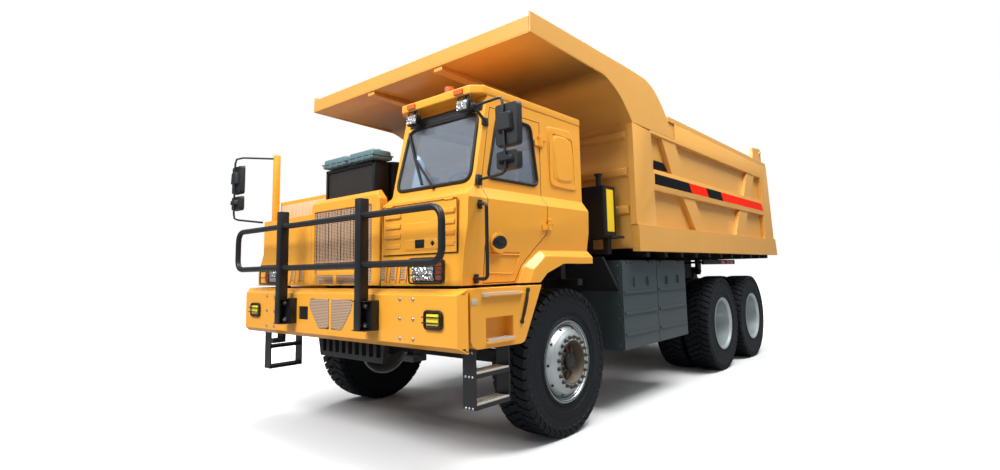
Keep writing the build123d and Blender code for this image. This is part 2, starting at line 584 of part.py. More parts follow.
# ------------------------------------------------------------------ cab
SCREEN_FOOT_Y = CAB_FACE_Y + 163
SCREEN_TOP_Y = CAB_FACE_Y + 335
SHELF_Z = 2210.0
cab_low = [(CAB_FACE_Y, SILL_Z), (CAB_FACE_Y + 25, 2130), (SCREEN_FOOT_Y, SHELF_Z), (CAB_REAR_Y, SHELF_Z),
           (CAB_REAR_Y, CAB_UNDER_Z), (-490, CAB_UNDER_Z - 2), (-722, 1573), (-806, SILL_Z)]
cab_high = [(SCREEN_FOOT_Y, SHELF_Z), (SCREEN_TOP_Y, ROOF_Z - SEAT), (CAB_REAR_Y, ROOF_Z - SEAT),
            (CAB_REAR_Y, SHELF_Z)]
low_x = CAB_IN_X + 48
cross = [(low_x, SILL_Z - 12), (1590, SILL_Z - 12), (1614, CAB_UNDER_Z + 3), (WAIST_X - 6, 1895),
         (WAIST_X, WAIST_Z), (CAB_OUT_X, WAIST_Z + 98), (CAB_OUT_X, ROOF_Z + 20),
         (CAB_IN_X, ROOF_Z + 20), (CAB_IN_X, SHELF_Z), (low_x, 2140)]
wide = (CAB_IN_X - 60, WAIST_X + 50)
cab = (side(cab_low, wide) + side(cab_high, wide)) & across(cross, (CAB_FACE_Y - 50, CAB_REAR_Y + 50))
ROOM_FLOOR = 1760.0
room = side([(CAB_FACE_Y + 90, ROOM_FLOOR), (CAB_FACE_Y + 100, 2080), (SCREEN_FOOT_Y + 52, 2200),
             (SCREEN_TOP_Y + 47, ROOF_Z - 40), (CAB_REAR_Y - CAB_SKIN, ROOF_Z - 40), (CAB_REAR_Y - CAB_SKIN,
                                                                                      ROOM_FLOOR)],
            (CAB_IN_X + CAB_SKIN, CAB_OUT_X - CAB_SKIN))
SCREEN = ((620, 2265), (1520, 2265), (1500, 2830), (660, 2830))
REAR_GLASS = ((800, 1400), (2350, 2850))
QUARTER = ((-1080, 2300), (-960, 2840), (-300, 2840), (-300, 2300))
DOOR_REAR_Y = -383.0
door_out = [(-1190, WAIST_Z), (-1200, 1440), (-805, 1440), (-722, 1580), (DOOR_REAR_Y - 12, 1850),
            (DOOR_REAR_Y, 2100), (DOOR_REAR_Y, 2890), (-1070, 2890), (-1185, 2250)]
door_in = [(-1184, WAIST_Z), (-1194, 1447), (-809, 1447), (-727, 1585), (DOOR_REAR_Y - 20, 1853),
           (DOOR_REAR_Y - 8, 2100), (DOOR_REAR_Y - 8, 2884), (-1065, 2884), (-1179, 2250)]
skin_x = CAB_OUT_X - CAB_SKIN
shell = cab - room - across(SCREEN, (CAB_FACE_Y - 70, SCREEN_TOP_Y + 95))
shell -= box(REAR_GLASS[0], (CAB_REAR_Y - 60, CAB_REAR_Y + 10), REAR_GLASS[1])
shell -= side(QUARTER, (CAB_IN_X - 10, CAB_IN_X + CAB_SKIN + 10))
shell -= side(door_out, (skin_x - 2, WAIST_X + 50))
# blank pressed panel behind the door: a raised hoop round a raised middle
BLANK = (  # outline, corner reach, inner face, outer face
    ([(-247, 2858), (179, 2848), (206, 2311), (-245, 2320)], 60, -5, 14),
    ([(-215, 2826), (148, 2818), (172, 2345), (-213, 2352)], 45, 4, 30),
    ([(-180, 2790), (112, 2784), (134, 2382), (-178, 2388)], 40, -5, 12),
)
blank, groove, middle = [side(rounded(outline, reach), (CAB_OUT_X + a, CAB_OUT_X + b))
                         for outline, reach, a, b in BLANK]
shell += blank - groove + middle

inner_skin = across([(CAB_IN_X - 90, SILL_Z - 40), (1548, SILL_Z - 40), (1562, CAB_UNDER_Z + 3),
                     (WAIST_X - 56, 1895),
                     (WAIST_X - 50, WAIST_Z - 7), (skin_x + 2, WAIST_Z + 78), (skin_x + 2,
                                                                               ROOF_Z + 20), (CAB_IN_X - 90,
                                                                                              ROOF_Z + 20)],
                    (CAB_FACE_Y, CAB_REAR_Y))
SIDE_GLASS = [(-1113, 2330), (-982, 2833), (-624, 2840), (-516, 2831), (-426, 2325), (-477, 2284),
              (-1080, 2284)]
door = (cab & side(door_in, wide)) - inner_skin - side(SIDE_GLASS, wide)
# pressed-in lower panel of the door
door -= (side([(-1142, 1690), (-752, 1690), (-861, 1508), (-1160, 1508)], (1500, 1700))
         & across([(1598, 1500), (1640, 1500), (1662, 1700), (1604, 1700)], (CAB_FACE_Y, CAB_REAR_Y)))
door += pin(1640, -1055, 1759, 24, 83)
nodes["cab_glass"] = fuse([
    across([(x + (SEAT if x < 1000 else -SEAT), z + (SEAT if z < 2500 else -SEAT)) for x, z in SCREEN],
           (CAB_FACE_Y - 70, SCREEN_TOP_Y + 95))
    & side([(SCREEN_FOOT_Y + 12, 2265), (SCREEN_FOOT_Y + 138, 2830), (SCREEN_FOOT_Y + 144, 2830),
            (SCREEN_FOOT_Y + 18, 2265)], wide),
    box((REAR_GLASS[0][0] + SEAT, REAR_GLASS[0][1] - SEAT), (CAB_REAR_Y - 15, CAB_REAR_Y - 9),
        (REAR_GLASS[1][0] + SEAT, REAR_GLASS[1][1] - SEAT)),
    side([(-1079.5, 2300 + SEAT), (-959.7, 2840 - SEAT), (-300 - SEAT, 2840 - SEAT),
          (-300 - SEAT, 2300 + SEAT)],
         (CAB_IN_X + 16, CAB_IN_X + 22)),
])
nodes["door_glass"] = side(SIDE_GLASS, (CAB_OUT_X - 22, CAB_OUT_X - 16)) & side(
    [(-1200, 2284 + SEAT), (-1200, 2832), (-400, 2832), (-400, 2284 + SEAT)], (1500, 1600))

ROOF_CH = 86.0
x0, x1 = CAB_IN_X - 6, CAB_OUT_X + 6
visor_y = CAB_FACE_Y + 205
roof = plan([(x0, visor_y + ROOF_CH), (x0 + ROOF_CH, visor_y), (x1 - ROOF_CH, visor_y),
             (x1, visor_y + ROOF_CH),
             (x1, CAB_REAR_Y + 6), (x0, CAB_REAR_Y + 6)], (ROOF_Z, ROOF_Z + ROOF_H))
nodes["cab_roof"] = roof

# hatch on the cab's face, hung from two short hinges along its top edge
HATCH_X = (650.0, 1545.0)
HATCH_Z = (1690.0, 2098.0)
HATCH_AXIS = (CAB_FACE_Y + 2, 2101.0)
hatch = side([(CAB_FACE_Y - 8.5, HATCH_Z[0]), (CAB_FACE_Y + 6, HATCH_Z[1]), (CAB_FACE_Y + 22, HATCH_Z[1]),
              (CAB_FACE_Y + 8, HATCH_Z[0])], HATCH_X)
for i in range(4):
    z = 1740 + i * 85
    for a, b in ((680, 800), (1380, 1500)):
        hatch += box((a, b), (CAB_FACE_Y - 10, CAB_FACE_Y + 8), (z, z + 34))
shell -= side([(CAB_FACE_Y - 50, HATCH_Z[0] - 8), (CAB_FACE_Y - 50, HATCH_Z[1] + 8),
               (CAB_FACE_Y + 26, HATCH_Z[1] + 8),
               (CAB_FACE_Y + 12, HATCH_Z[0] - 8)], (HATCH_X[0] - 8, HATCH_X[1] + 8))
hy, hz = HATCH_AXIS
for x in (HATCH_X[0] + 50, HATCH_X[1] - 115):
    hatch += rod((x, hy, hz), (x + 60, hy, hz), 7) - rod((x - 1, hy, hz), (x + 61, hy, hz), 3 + RUN)
    lugs = rod((x - 14, hy, hz), (x + 74, hy, hz), 3)
    for a in (x - 14, x + 60 + SEAT):
        hatch -= box((a - 1, a + 14.7), (hy - 30, hy + 30), (hz - 11, hz + 14))
        lugs += rod((a, hy, hz), (a + 13.7, hy, hz), 7) + box((a, a + 13.7), (hy, hy + 33),
                                                              (hz - 1, hz + 11))
    shell += lugs
nodes["front_hatch"] = hatch

# door hinges on one leaning line; columns: height, skin x there, axis x there
HINGES = ((1939, 1645, 1665), (2715, 1578, 1600))
DOOR_LEAN = (-65, 0, 776)
for z, skin, ax in HINGES:
    line = Plane(origin=(ax, DOOR_REAR_Y, z), z_dir=DOOR_LEAN)
    shell += line * Cylinder(6, 110) + line * (Pos(0, 0, 30) * Cylinder(13, 49.4))
    shell += box((skin - 10, ax), (DOOR_REAR_Y, DOOR_REAR_Y + 73), (z + 8, z + 52))
    leaf = box((skin - 8, skin + 14), (DOOR_REAR_Y - 92, DOOR_REAR_Y - 21), (z - 50, z))
    leaf += box((skin + 1, ax), (DOOR_REAR_Y - 29, DOOR_REAR_Y), (z - 50, z))
    door += (leaf + line * (Pos(0, 0, -25) * Cylinder(13, 59.4))) - line * Cylinder(6 + RUN, 200)
nodes["cab_shell"] = shell
nodes["door_left"] = door

SEAT_X = (850.0, 1330.0)
seat = box((940, 1240), (-380, 0), (ROOM_FLOOR + SEAT, 1980)) + box(SEAT_X, (-420, 60), (1980, 2120))
seat += side([(30, 2060), (140, 2060), (240, 2700), (140, 2700)], SEAT_X)
nodes["seat"] = seat
dash = side([(-1328, ROOM_FLOOR + SEAT), (-1325, 2070), (-1212, 2190), (-1040, 2180), (-960, 2090),
             (-1100, ROOM_FLOOR + SEAT)], (CAB_IN_X + 42, 1536))
WHEEL_AT = (1080, -800, 2230)
wheel_plane = Plane(origin=WHEEL_AT, z_dir=(0, 0.816, 0.58))
dash += rod((1080, -1040, 2060), WHEEL_AT, 35)
dash += wheel_plane * (Cylinder(240, 26) - Cylinder(212, 30)) + wheel_plane * Box(440, 44, 16)
nodes["dashboard"] = dash

# ------------------------------------------------------------------ lamps, mirrors, handle
lamps = []
for x in (792, 1429):
    lamps.append(box((x - 68, x + 68), (-1250, -1165), (2850, 2945)) + box((x - 12, x + 12), (-1215, -1185),
                                                                           (2945, ROOF_Z - SEAT)))
HEAD_X, HEAD_Z = (1036.0, 1384.0), (1455.0, 1635.0)
CAGE_D = 62.0
CAGE_BAR = 9.0


def caged(x, z, face, depth, bars):
    """Lamp block on a face with a cage of flat bars in front."""
    lamp = box(x, (face - depth + 22, face - SEAT), z)
    rim_x = (x[0] - CAGE_BAR, x[1] + CAGE_BAR)
    rim_z = (z[0] - CAGE_BAR, z[1] + CAGE_BAR)
    ring = box(rim_x, (face - depth, face - depth + CAGE_BAR), rim_z)
    ring -= box(x, (face - depth - 1, face - depth + CAGE_BAR + 1), z)
    for i in range(1, bars + 1):
        h = z[0] + (z[1] - z[0]) * i / (bars + 1)
        ring += box(rim_x, (face - depth, face - depth + CAGE_BAR), (h - 4, h + 4))
    for rx in (rim_x[0], rim_x[1] - CAGE_BAR):
        ring += box((rx, rx + CAGE_BAR), (face - depth, face - SEAT), (rim_z[0], rim_z[0] + CAGE_BAR))
        ring += box((rx, rx + CAGE_BAR), (face - depth, face - SEAT), (rim_z[1] - CAGE_BAR, rim_z[1]))
    return lamp + ring


FOG_X, FOG_Z = (1328.0, 1468.0), (1120.0, 1238.0)
head = caged(HEAD_X, HEAD_Z, CAB_FACE_Y, CAGE_D, 2)
fog = caged(FOG_X, FOG_Z, BUMPER_Y, 38, 2)
lamps += [head, Pos(-8, 0, 0) * mirrored(head), fog, mirrored(fog)]
nodes["lamps"] = fuse(lamps)
BEACON_R = 58.0
marks = [box((x - 50, x + 50), (visor_y - 18, visor_y - SEAT), (ROOF_Z + 15, ROOF_Z + 55)) for x in (782,
                                                                                                     1380)]
beacon = rod((985, -950, ROOF_Z + ROOF_H + SEAT), (985, -950, ROOF_Z + ROOF_H + 35), BEACON_R)
marks.append(beacon + rod((985, -950, ROOF_Z + ROOF_H + 35), (985, -950, ROOF_Z + ROOF_H + 160),
                          BEACON_R - 12))
nodes["beacon_and_markers"] = fuse(marks)

ARM_R = 14.0


def mirror_heads(x, y, z):
    """Large and small mirror heads with arched backs on a short link."""
    w = 110
    back = [(-w, -30), (-w, 15), (w, 15), (w, -30), (w * 0.55, -60), (-w * 0.55, -60)]
    heads = plan([(x + a, y + b) for a, b in back], (z - 130, z + 200))
    heads += plan([(x + a * 0.95, y + b) for a, b in back], (z - 330, z - 140))
    return heads + box((x - 20, x + 20), (y - 20, y), (z - 142, z - 128))


left_y, left_z = -1258.0, 2645.0
mirrors = mirror_heads(MIRROR_X, left_y, left_z)
mirrors += tube([(CAB_OUT_X + 2.2, -1100, 2950), (MIRROR_X, left_y, 2950),
                 (MIRROR_X, left_y, left_z + 150)], ARM_R, 60)
mirrors += tube([(WAIST_X + 8.8, -1235, 2110), (MIRROR_X, left_y, 2190), (MIRROR_X, left_y, left_z - 320)],
                ARM_R, 40)
right_y, right_z = -1566.0, 2622.0
POST = (-1600.0, -1260.0)
heads = mirror_heads(-MIRROR_X, right_y, right_z)
heads += tube([(POST[0], POST[1], 2900), (-MIRROR_X, right_y, 2920), (-MIRROR_X, right_y, right_z + 150)],
              ARM_R, 60)
heads += tube([(-1530, CAB_FACE_Y - 16, DECK_Z - 4), (-MIRROR_X, right_y, 2190),
               (-MIRROR_X, right_y, right_z - 320)], ARM_R, 40)
heads += box((POST[0] - 30, POST[0] + 30), (POST[1] - 30, POST[1] + 30), (DECK_Z + SEAT, 2940))
heads += box((POST[0] - 30, POST[0] + 100), (POST[1] - 30, DECK_BOX_Y[0] - SEAT),
             (DECK_Z + SEAT, DECK_Z + 41))
nodes["mirrors"] = mirrors + heads
GRAB_X = 1735.0
nodes["grab_handle"] = tube([(WAIST_X - 0.3, -1300, 2052), (GRAB_X, -1300, 2052), (GRAB_X, -1300, 1480),
                             (1596, -1300, 1480)], 14, 35)

# ------------------------------------------------------------------ between the axles
BOX_TOP, BOX_END = BOX_Z + BOX_H, BOX_Y + BOX_L
BOX_WALL = 40.0
BOX_IN_X = 1100.0
DOOR_T = 16.7
inner_y = (BOX_Y + BOX_WALL, BOX_END - BOX_WALL)
inner_z = (BOX_Z + BOX_WALL, BOX_TOP - BOX_WALL)
chest = box((BOX_IN_X + SEAT, BOX_X), (BOX_Y, BOX_END), (BOX_Z, BOX_TOP))
chest -= box((BOX_IN_X + BOX_WALL, BOX_X + 1), inner_y, inner_z)
middle_y = BOX_Y + BOX_L / 2
chest += box((BOX_IN_X + BOX_WALL - 1, BOX_X - 25), (middle_y - 10, middle_y + 10),
             (BOX_Z + 20, BOX_TOP - 20))
HINGE_R = 9.0
HINGE_PIN_R = 4.0
HINGE_L = 70.0
LUG_T = 14.0
hinge_x, hinge_z = BOX_X + DOOR_T, BOX_TOP - 14


def box_door(y0, y1):
    """Ribbed door and the lugs on the box that hold its two hinges."""
    panel = box((BOX_X + SEAT, BOX_X + DOOR_T), (y0, y1), (BOX_Z + 8, hinge_z))
    lugs = []
    for i in range(3):
        z = BOX_Z + 150 + i * 225
        panel += box((BOX_X + DOOR_T, BOX_X + DOOR_T + 12), (y0 + 30, y1 - 30), (z, z + 30))
    for share in (0.3, 0.7):
        y = y0 + share * (y1 - y0)
        panel += box((BOX_X + DOOR_T, BOX_X + DOOR_T + 22), (y - 9, y + 9), (BOX_TOP - 290, BOX_TOP - 190))
    for y in (y0 + 120, y1 - 120 - HINGE_L):
        panel += rod((hinge_x, y, hinge_z), (hinge_x, y + HINGE_L, hinge_z), HINGE_R)
        panel -= rod((hinge_x, y - 1, hinge_z), (hinge_x, y + HINGE_L + 1, hinge_z), HINGE_PIN_R + RUN)
        lugs.append(rod((hinge_x, y - LUG_T, hinge_z), (hinge_x, y + HINGE_L + LUG_T, hinge_z),
                        HINGE_PIN_R))
        for a in (y - SEAT - LUG_T, y + HINGE_L + SEAT):
            panel -= box((BOX_X - 1, BOX_X + 60), (a - 2, a + LUG_T + 2), (hinge_z - 26, hinge_z + 20))
            lugs.append(box((BOX_X - 1, hinge_x + 6), (a, a + LUG_T), (hinge_z - 6, BOX_TOP)))
    return panel, lugs


for name, y0, y1 in (("front", BOX_Y + 8, middle_y - 6), ("rear", middle_y + 6, BOX_END - 8)):
    nodes["box_door_" + name], lugs = box_door(y0, y1)
    chest = fuse([chest, *lugs])
nodes["side_box"] = chest
fuel = box((-1600, -BOX_IN_X - SEAT), (1000, 2500), (700, 1450))
nodes["fuel_tank"] = fillet(fuel.edges().filter_by(Axis.Y), 90)

plate = [(620, 1660), (660, 1660), (BOX_Y - SEAT, 1330), (BOX_Y - SEAT, 1290), (920, 1320)]
nodes["mudguards"] = pair(side(plate, (RAIL_X + 60 + SEAT, 1600)))
SHELF_Y = (TANK_Y - 17, TANK_Y + TANK_L + 15)
TANK_X = (1180.0, 1560.0)
TANK_Z = (TANK_SHELF_Z + 27.6, 2440.0)
hydraulic = box(TANK_X, (TANK_Y, TANK_Y + TANK_L), TANK_Z)
hydraulic = fillet(hydraulic.edges().filter_by(Axis.Z), 25)
hydraulic += rod((1450, 870, TANK_Z[1]), (1450, 870, 2560), 32) + rod((1450, 870, 2560), (1450, 870, 2585),
                                                                      45)
hydraulic += box((TANK_X[0] - 60, 1640), SHELF_Y, (TANK_SHELF_Z + SEAT, TANK_Z[0]))
nodes["hydraulic_tank"] = hydraulic
muffler = rod((-1350, 900, TANK_SHELF_Z + 98), (-1350, 900, 2640), 140)
muffler += rod((-1350, 900, 2640), (-1350, 1000, 2900), 60)
nodes["muffler"] = muffler + box((-1500, -1200), (780, 1020), (TANK_SHELF_Z + SEAT, TANK_SHELF_Z + 98))
tail_y = (RAIL_REAR_Y - 40, RAIL_REAR_Y)
nodes["tail_lamps"] = fuse([box((s * (RAIL_X + SEAT), s * 900), tail_y, (1080, 1240)) for s in BOTH])

# ------------------------------------------------------------------ dump body
FLOOR_T = 20.0
FLOOR_TOP = BED_FLOOR_Z + FLOOR_T
FRAME_X = BED_WALL_X + BED_WALL_T + SEAT
REAR_LEAN = 0.1375             # the rear edge lies further back lower down
KNEE_Z = 3171.0                # where the canopy leaves the front wall


def rear_y(z, inset):
    """Y of the body's leaning rear edge at height z."""
    return BED_REAR_Y - inset - (z - BEAM_Z) * REAR_LEAN


outer = BED_WALL_X + BED_WALL_T
inner = (-BED_WALL_X, BED_WALL_X)
WALL_LEAN = 30.0               # the front wall's foot lies this far behind its top
FRONT_T = 14.0
foot_y = BED_FRONT_Y + WALL_LEAN
knee_back = (BED_FRONT_Y + FRONT_T, KNEE_Z)
wall = [(foot_y, BED_FLOOR_Z), (BED_FRONT_Y, KNEE_Z), knee_back, (BED_FRONT_Y + 20, BED_TOP_Z),
        (rear_y(BED_TOP_Z, 62), BED_TOP_Z),
        (rear_y(BED_FLOOR_Z, 62), BED_FLOOR_Z)]
plates = [side(wall, (s * BED_WALL_X, s * outer)) for s in BOTH]
floor_end = rear_y(BED_FLOOR_Z, 62)
floor_side = [(foot_y, BED_FLOOR_Z), (foot_y - 0.3, FLOOR_TOP), (floor_end - 3, FLOOR_TOP),
              (floor_end, BED_FLOOR_Z)]
plates.append(side(floor_side, inner))
front = [(foot_y - 0.3, FLOOR_TOP), (BED_FRONT_Y, KNEE_Z), (BED_FRONT_Y + FRONT_T, KNEE_Z),
         (foot_y + FRONT_T, FLOOR_TOP)]
plates.append(side(front, inner))
RIB_H = 110.0
RIB_D = 45.0


def wall_y(z):
    """Front face of the front wall at height z."""
    return BED_FRONT_Y + WALL_LEAN * (KNEE_Z - z) / (KNEE_Z - BED_FLOOR_Z)


for z in (2130, 2560, 2990):
    rib = [(wall_y(z), z), (wall_y(z) - RIB_D, z + 20), (wall_y(z) - RIB_D, z + RIB_H - 20),
           (wall_y(z + RIB_H), z + RIB_H)]
    plates.append(side(rib, (-outer + 20, outer - 20)))


def softened(points, rounds):
    """The open outline with each inner corner cut back again and again."""
    for _ in range(rounds):
        cut = [points[0]]
        for (y0, z0), (y1, z1) in zip(points, points[1:]):
            cut.append((0.75 * y0 + 0.25 * y1, 0.75 * z0 + 0.25 * z1))
            cut.append((0.25 * y0 + 0.75 * y1, 0.25 * z0 + 0.75 * z1))
        points = [cut[0], *cut[2:-2], points[-1]]
    return points


UNDER = [(CANOPY_FRONT_Y, CANOPY_Z), (448, CANOPY_Z - 11), (712, 3515), (940, 3391), (BED_FRONT_Y, KNEE_Z)]
OVER = [(CANOPY_FRONT_Y, CANOPY_Z + 12), (450, CANOPY_Z + 1), (718, 3527), (950, 3402),
        (BED_FRONT_Y + FRONT_T, KNEE_Z)]
sheet_x = BED_OUT_X - 20 - SEAT
strips = list(zip(UNDER, OVER))
for (a, b), (c, d) in zip(strips, strips[1:]):
    plates.append(side([a, b, d, c], (-sheet_x, sheet_x)))
cheek_end = 2345 - SEAT
for s in BOTH:
    cheek = (s * outer, s * sheet_x)
    plates.append(side([knee_back, (BED_FRONT_Y + 20, BED_TOP_Z), (cheek_end, BED_TOP_Z),
                        (cheek_end, KNEE_Z)], cheek))
nodes["bed_shell"] = touching(plates)

LIP_Z = CANOPY_Z + LIP_H
lip = [(CANOPY_FRONT_Y, CANOPY_Z), (CANOPY_FRONT_Y + 8, LIP_Z), (1380, LIP_Z - 12), (1649, LIP_Z - 45),
       (1885, LIP_Z - 167), (2099, 3443), (2339, KNEE_Z)]
edge = softened(lip[1:], 2)
arch = softened(UNDER[::-1], 2)
plates = [side(lip[:1] + edge + arch[:-1], (s * (BED_OUT_X - 20), s * BED_OUT_X)) for s in BOTH]
top = CANOPY_Z + 12 + SEAT
plates.append(box((-sheet_x - SEAT, sheet_x + SEAT), (CANOPY_FRONT_Y, CANOPY_FRONT_Y + 14),
                  (top, LIP_Z - 43)))
for x in (-560, 560):
    rib = [(CANOPY_FRONT_Y + 14, CANOPY_Z - SEAT), (448, CANOPY_Z - 11 - SEAT), (712, 3515 - SEAT),
           (712, 3450), (448, 3535),
           (CANOPY_FRONT_Y + 14, 3560)]
    plates.append(side(rib, (x - 60, x + 60)))
nodes["canopy"] = touching(plates)

RAIL_LOW_Z = 3133.0
MID_Z = (2446.0, 2700.0)
post_top = BED_TOP_Z - 218
frames = []
BRACES = (  # y at the upper edge, upper z, y at the lower edge, lower z; both edges as from, to
    ((1941, 2355), RAIL_LOW_Z, (2215, 2679), MID_Z[1]),
    ((2527, 2941), MID_Z[0], (2915, 3283), BEAM_TOP_Z),
    ((5416, 5836), RAIL_LOW_Z, (5149, 5546), MID_Z[1]),
    ((4880, 5326), MID_Z[0], (4629, 5083), BEAM_TOP_Z),
)
for s in BOTH:
    reach = (s * FRAME_X, s * BED_OUT_X)
    beam = [(BED_FRONT_Y + 11, BEAM_Z), (BED_FRONT_Y + 11, BEAM_TOP_Z),
            (rear_y(BEAM_TOP_Z, 38), BEAM_TOP_Z), (BED_REAR_Y, BEAM_Z)]
    frames.append(side(beam, (s * FRAME_X, s * BEAM_X)))
    post = [(BED_FRONT_Y - 5, BEAM_TOP_Z), (BED_FRONT_Y - 5, post_top), (1620, post_top - 20),
            (1655, BEAM_TOP_Z)]
    frames.append(side(post, reach))
    end_post = [(6179, RAIL_LOW_Z), (6286, BEAM_TOP_Z), (rear_y(BEAM_TOP_Z, 55), BEAM_TOP_Z),
                (rear_y(RAIL_LOW_Z, 60), RAIL_LOW_Z)]
    frames.append(side(end_post, reach))
    frames.append(box(reach, (1600, 2400), (RAIL_LOW_Z, post_top)))
    rail_side = [(2345, RAIL_LOW_Z), (2345, BED_TOP_Z), (rear_y(BED_TOP_Z, 70), BED_TOP_Z),
                 (rear_y(RAIL_LOW_Z, 60), RAIL_LOW_Z)]
    frames.append(side(rail_side, reach))
    frames.append(box((s * (BED_WALL_X - 8), s * BED_OUT_X), (2160, 6600),
                      (BED_TOP_Z + SEAT, BED_TOP_Z + 61)))
    frames.append(box(reach, (1640, 6240), MID_Z))
    for (a, b), z1, (c, d), z0 in BRACES:
        frames.append(side([(a, z1), (b, z1), (d, z0), (c, z0)], (s * FRAME_X, s * (BED_OUT_X - 12))))
    ear = [(GATE_Y - 460, BED_TOP_Z + 61), (GATE_Y - 420, GATE_Z + 40), (GATE_Y - 60, GATE_Z + 80),
           (GATE_Y + 60, GATE_Z + 80),
           (GATE_Y + 120, BED_TOP_Z + 61)]
    frames.append(side(ear, (s * (BED_WALL_X - 6), s * (BED_WALL_X + 34))))
    frames.append(pin(s * (BED_WALL_X - 35), GATE_Y, GATE_Z, 186, GATE_PIN_R))
nodes["bed_frames"] = fuse(frames)

BEARER_X = 385.0
bearer_top = BED_FLOOR_Z - SEAT
under = []
for s in BOTH:
    x = s * BEARER_X
    under.append(box((x - 40, x + 40), (1300, PIVOT_Y - 160), (RAIL_TOP + 10, bearer_top)))
    ear_x = (s * (RAIL_X + 30), s * (RAIL_X + 90))
    ear = [(PIVOT_Y - 70, bearer_top), (PIVOT_Y - 70, PIVOT_Z), (PIVOT_Y - 50, PIVOT_Z - 70),
           (PIVOT_Y + 50, PIVOT_Z - 70),
           (PIVOT_Y + 80, PIVOT_Z), (PIVOT_Y + 130, bearer_top)]
    under.append(side(ear, ear_x) - pin(s * (RAIL_X + 60), PIVOT_Y, PIVOT_Z, 100, PIVOT_R + RUN))
    lug = box((s * 310, s * (BEARER_X - 40)), (EYE_Y - 50, EYE_Y + 50), (EYE_Z - 50, bearer_top))
    under.append(lug)
CROSS_BEAMS = 11
for i in range(CROSS_BEAMS):
    y = 1500 + 500 * i
    under.append(box((-FRAME_X + 1, FRAME_X - 1), (y, y + 90), (bearer_top - 100, bearer_top)))
under.append(pin(0, EYE_Y, EYE_Z, 2 * (BEARER_X - 40), HOIST_PIN_R))
nodes["bed_underframe"] = sliced(fuse(under), (-BEARER_X - 40, -BEARER_X + 40, BEARER_X - 40,
                                               BEARER_X + 40))

GATE_X = 1655.0
gate_face = [(rear_y(BED_TOP_Z - 8, 45), BED_TOP_Z - 8), (rear_y(BEAM_Z + 21, 45), BEAM_Z + 21),
             (rear_y(BEAM_Z + 21, 10), BEAM_Z + 21),
             (rear_y(BED_TOP_Z - 8, 10), BED_TOP_Z - 8)]
gate = side(gate_face, (-GATE_X, GATE_X))
gate_rib = [(rear_y(3340, 11), 3340), (rear_y(1800, 11), 1800), (rear_y(1830, 2), 1830),
            (rear_y(3310, 2), 3310)]
for i in range(5):
    x = -1400 + i * 700
    gate += side(gate_rib, (x - 45, x + 45))
for s in BOTH:
    y_top = rear_y(BED_TOP_Z, 10)
    arm = [(y_top - 30, BED_TOP_Z - 20), (y_top - 40, BED_TOP_Z - 80), (y_top, BED_TOP_Z - 80),
           (y_top, BED_TOP_Z + 212),
           (GATE_Y + 60, GATE_Z + 60), (GATE_Y - 60, GATE_Z + 60), (GATE_Y - 60, GATE_Z - 60), (y_top - 120,
                                                                                                GATE_Z - 80)]
    gate += side(arm, (s * (GATE_X - 95), s * (GATE_X - 55)))
    gate -= pin(s * (GATE_X - 75), GATE_Y, GATE_Z, 60, GATE_PIN_R + RUN)
nodes["tailgate"] = gate

# ------------------------------------------------------------------ hoists
run = Vector(0, EYE_Y - HOIST_Y, EYE_Z - HOIST_Z)
reach = run.length
step = run * (1 / reach)
ROD_R = 50.0
BASE_T = 80.0
EYE_BORE = HOIST_PIN_R + EYE_SLACK
EYE_R = EYE_BORE + 22
EYE_W = 90.0


def on_line(x, along):
    """Point on a hoist's centre line."""
    return (x, HOIST_Y + step.Y * along, HOIST_Z + step.Z * along)


barrels, rods = [], []
for s in BOTH:
    x = s * HOIST_X
    barrel_end = reach - EYE_R - 30
    body = rod(on_line(x, 0), on_line(x, barrel_end), HOIST_R) - rod(on_line(x, BASE_T), on_line(x, reach),
                                                                     ROD_R + RUN)
    body += pin(x, HOIST_Y, HOIST_Z, 2 * HOIST_R, HOIST_PIN_R + 25)
    barrels.append(body - pin(x, HOIST_Y, HOIST_Z, 3 * HOIST_R, HOIST_PIN_R + RUN))
    piston = rod(on_line(x, BASE_T + 10), on_line(x, reach - EYE_BORE - 6), ROD_R) + pin(x, EYE_Y, EYE_Z,
                                                                                         EYE_W, EYE_R)
    rods.append(piston - pin(x, EYE_Y, EYE_Z, 2 * EYE_W, EYE_BORE))
nodes["hoist_barrels"] = fuse(barrels)
nodes["hoist_rods"] = fuse(rods)

# ------------------------------------------------------------------ write
os.makedirs("parts", exist_ok=True)
for name, shape in nodes.items():
    export_step(Pos(0, SHIFT, 0) * shape, "parts/%s.step" % name)
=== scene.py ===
# Wide-body mining dump truck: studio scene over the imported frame. Metres, row frame.
import math
import random

import bmesh
import bpy
from mathutils import Matrix, Vector


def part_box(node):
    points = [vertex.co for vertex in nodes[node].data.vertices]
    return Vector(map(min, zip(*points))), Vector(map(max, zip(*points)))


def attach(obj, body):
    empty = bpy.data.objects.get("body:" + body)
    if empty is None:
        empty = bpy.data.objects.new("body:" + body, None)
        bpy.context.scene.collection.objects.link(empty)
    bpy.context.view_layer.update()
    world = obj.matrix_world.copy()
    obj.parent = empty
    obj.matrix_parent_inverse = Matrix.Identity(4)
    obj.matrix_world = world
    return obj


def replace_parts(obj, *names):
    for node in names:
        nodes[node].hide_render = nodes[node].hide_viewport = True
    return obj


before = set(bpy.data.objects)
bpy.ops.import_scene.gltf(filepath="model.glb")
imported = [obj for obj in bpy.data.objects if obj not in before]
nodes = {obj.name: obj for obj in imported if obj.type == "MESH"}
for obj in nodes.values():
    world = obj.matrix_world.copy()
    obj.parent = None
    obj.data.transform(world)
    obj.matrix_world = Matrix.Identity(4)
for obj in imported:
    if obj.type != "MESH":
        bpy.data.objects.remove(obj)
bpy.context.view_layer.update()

# ---------------------------------------------------------------- studio
# A white sweep under plain soft light: a sky that brightens upwards, a key low in front
# and soft boxes high over the truck. The floor is white and holds the truck's shadow.
HORIZON = 0.24
ZENITH = 0.75
scene = bpy.context.scene
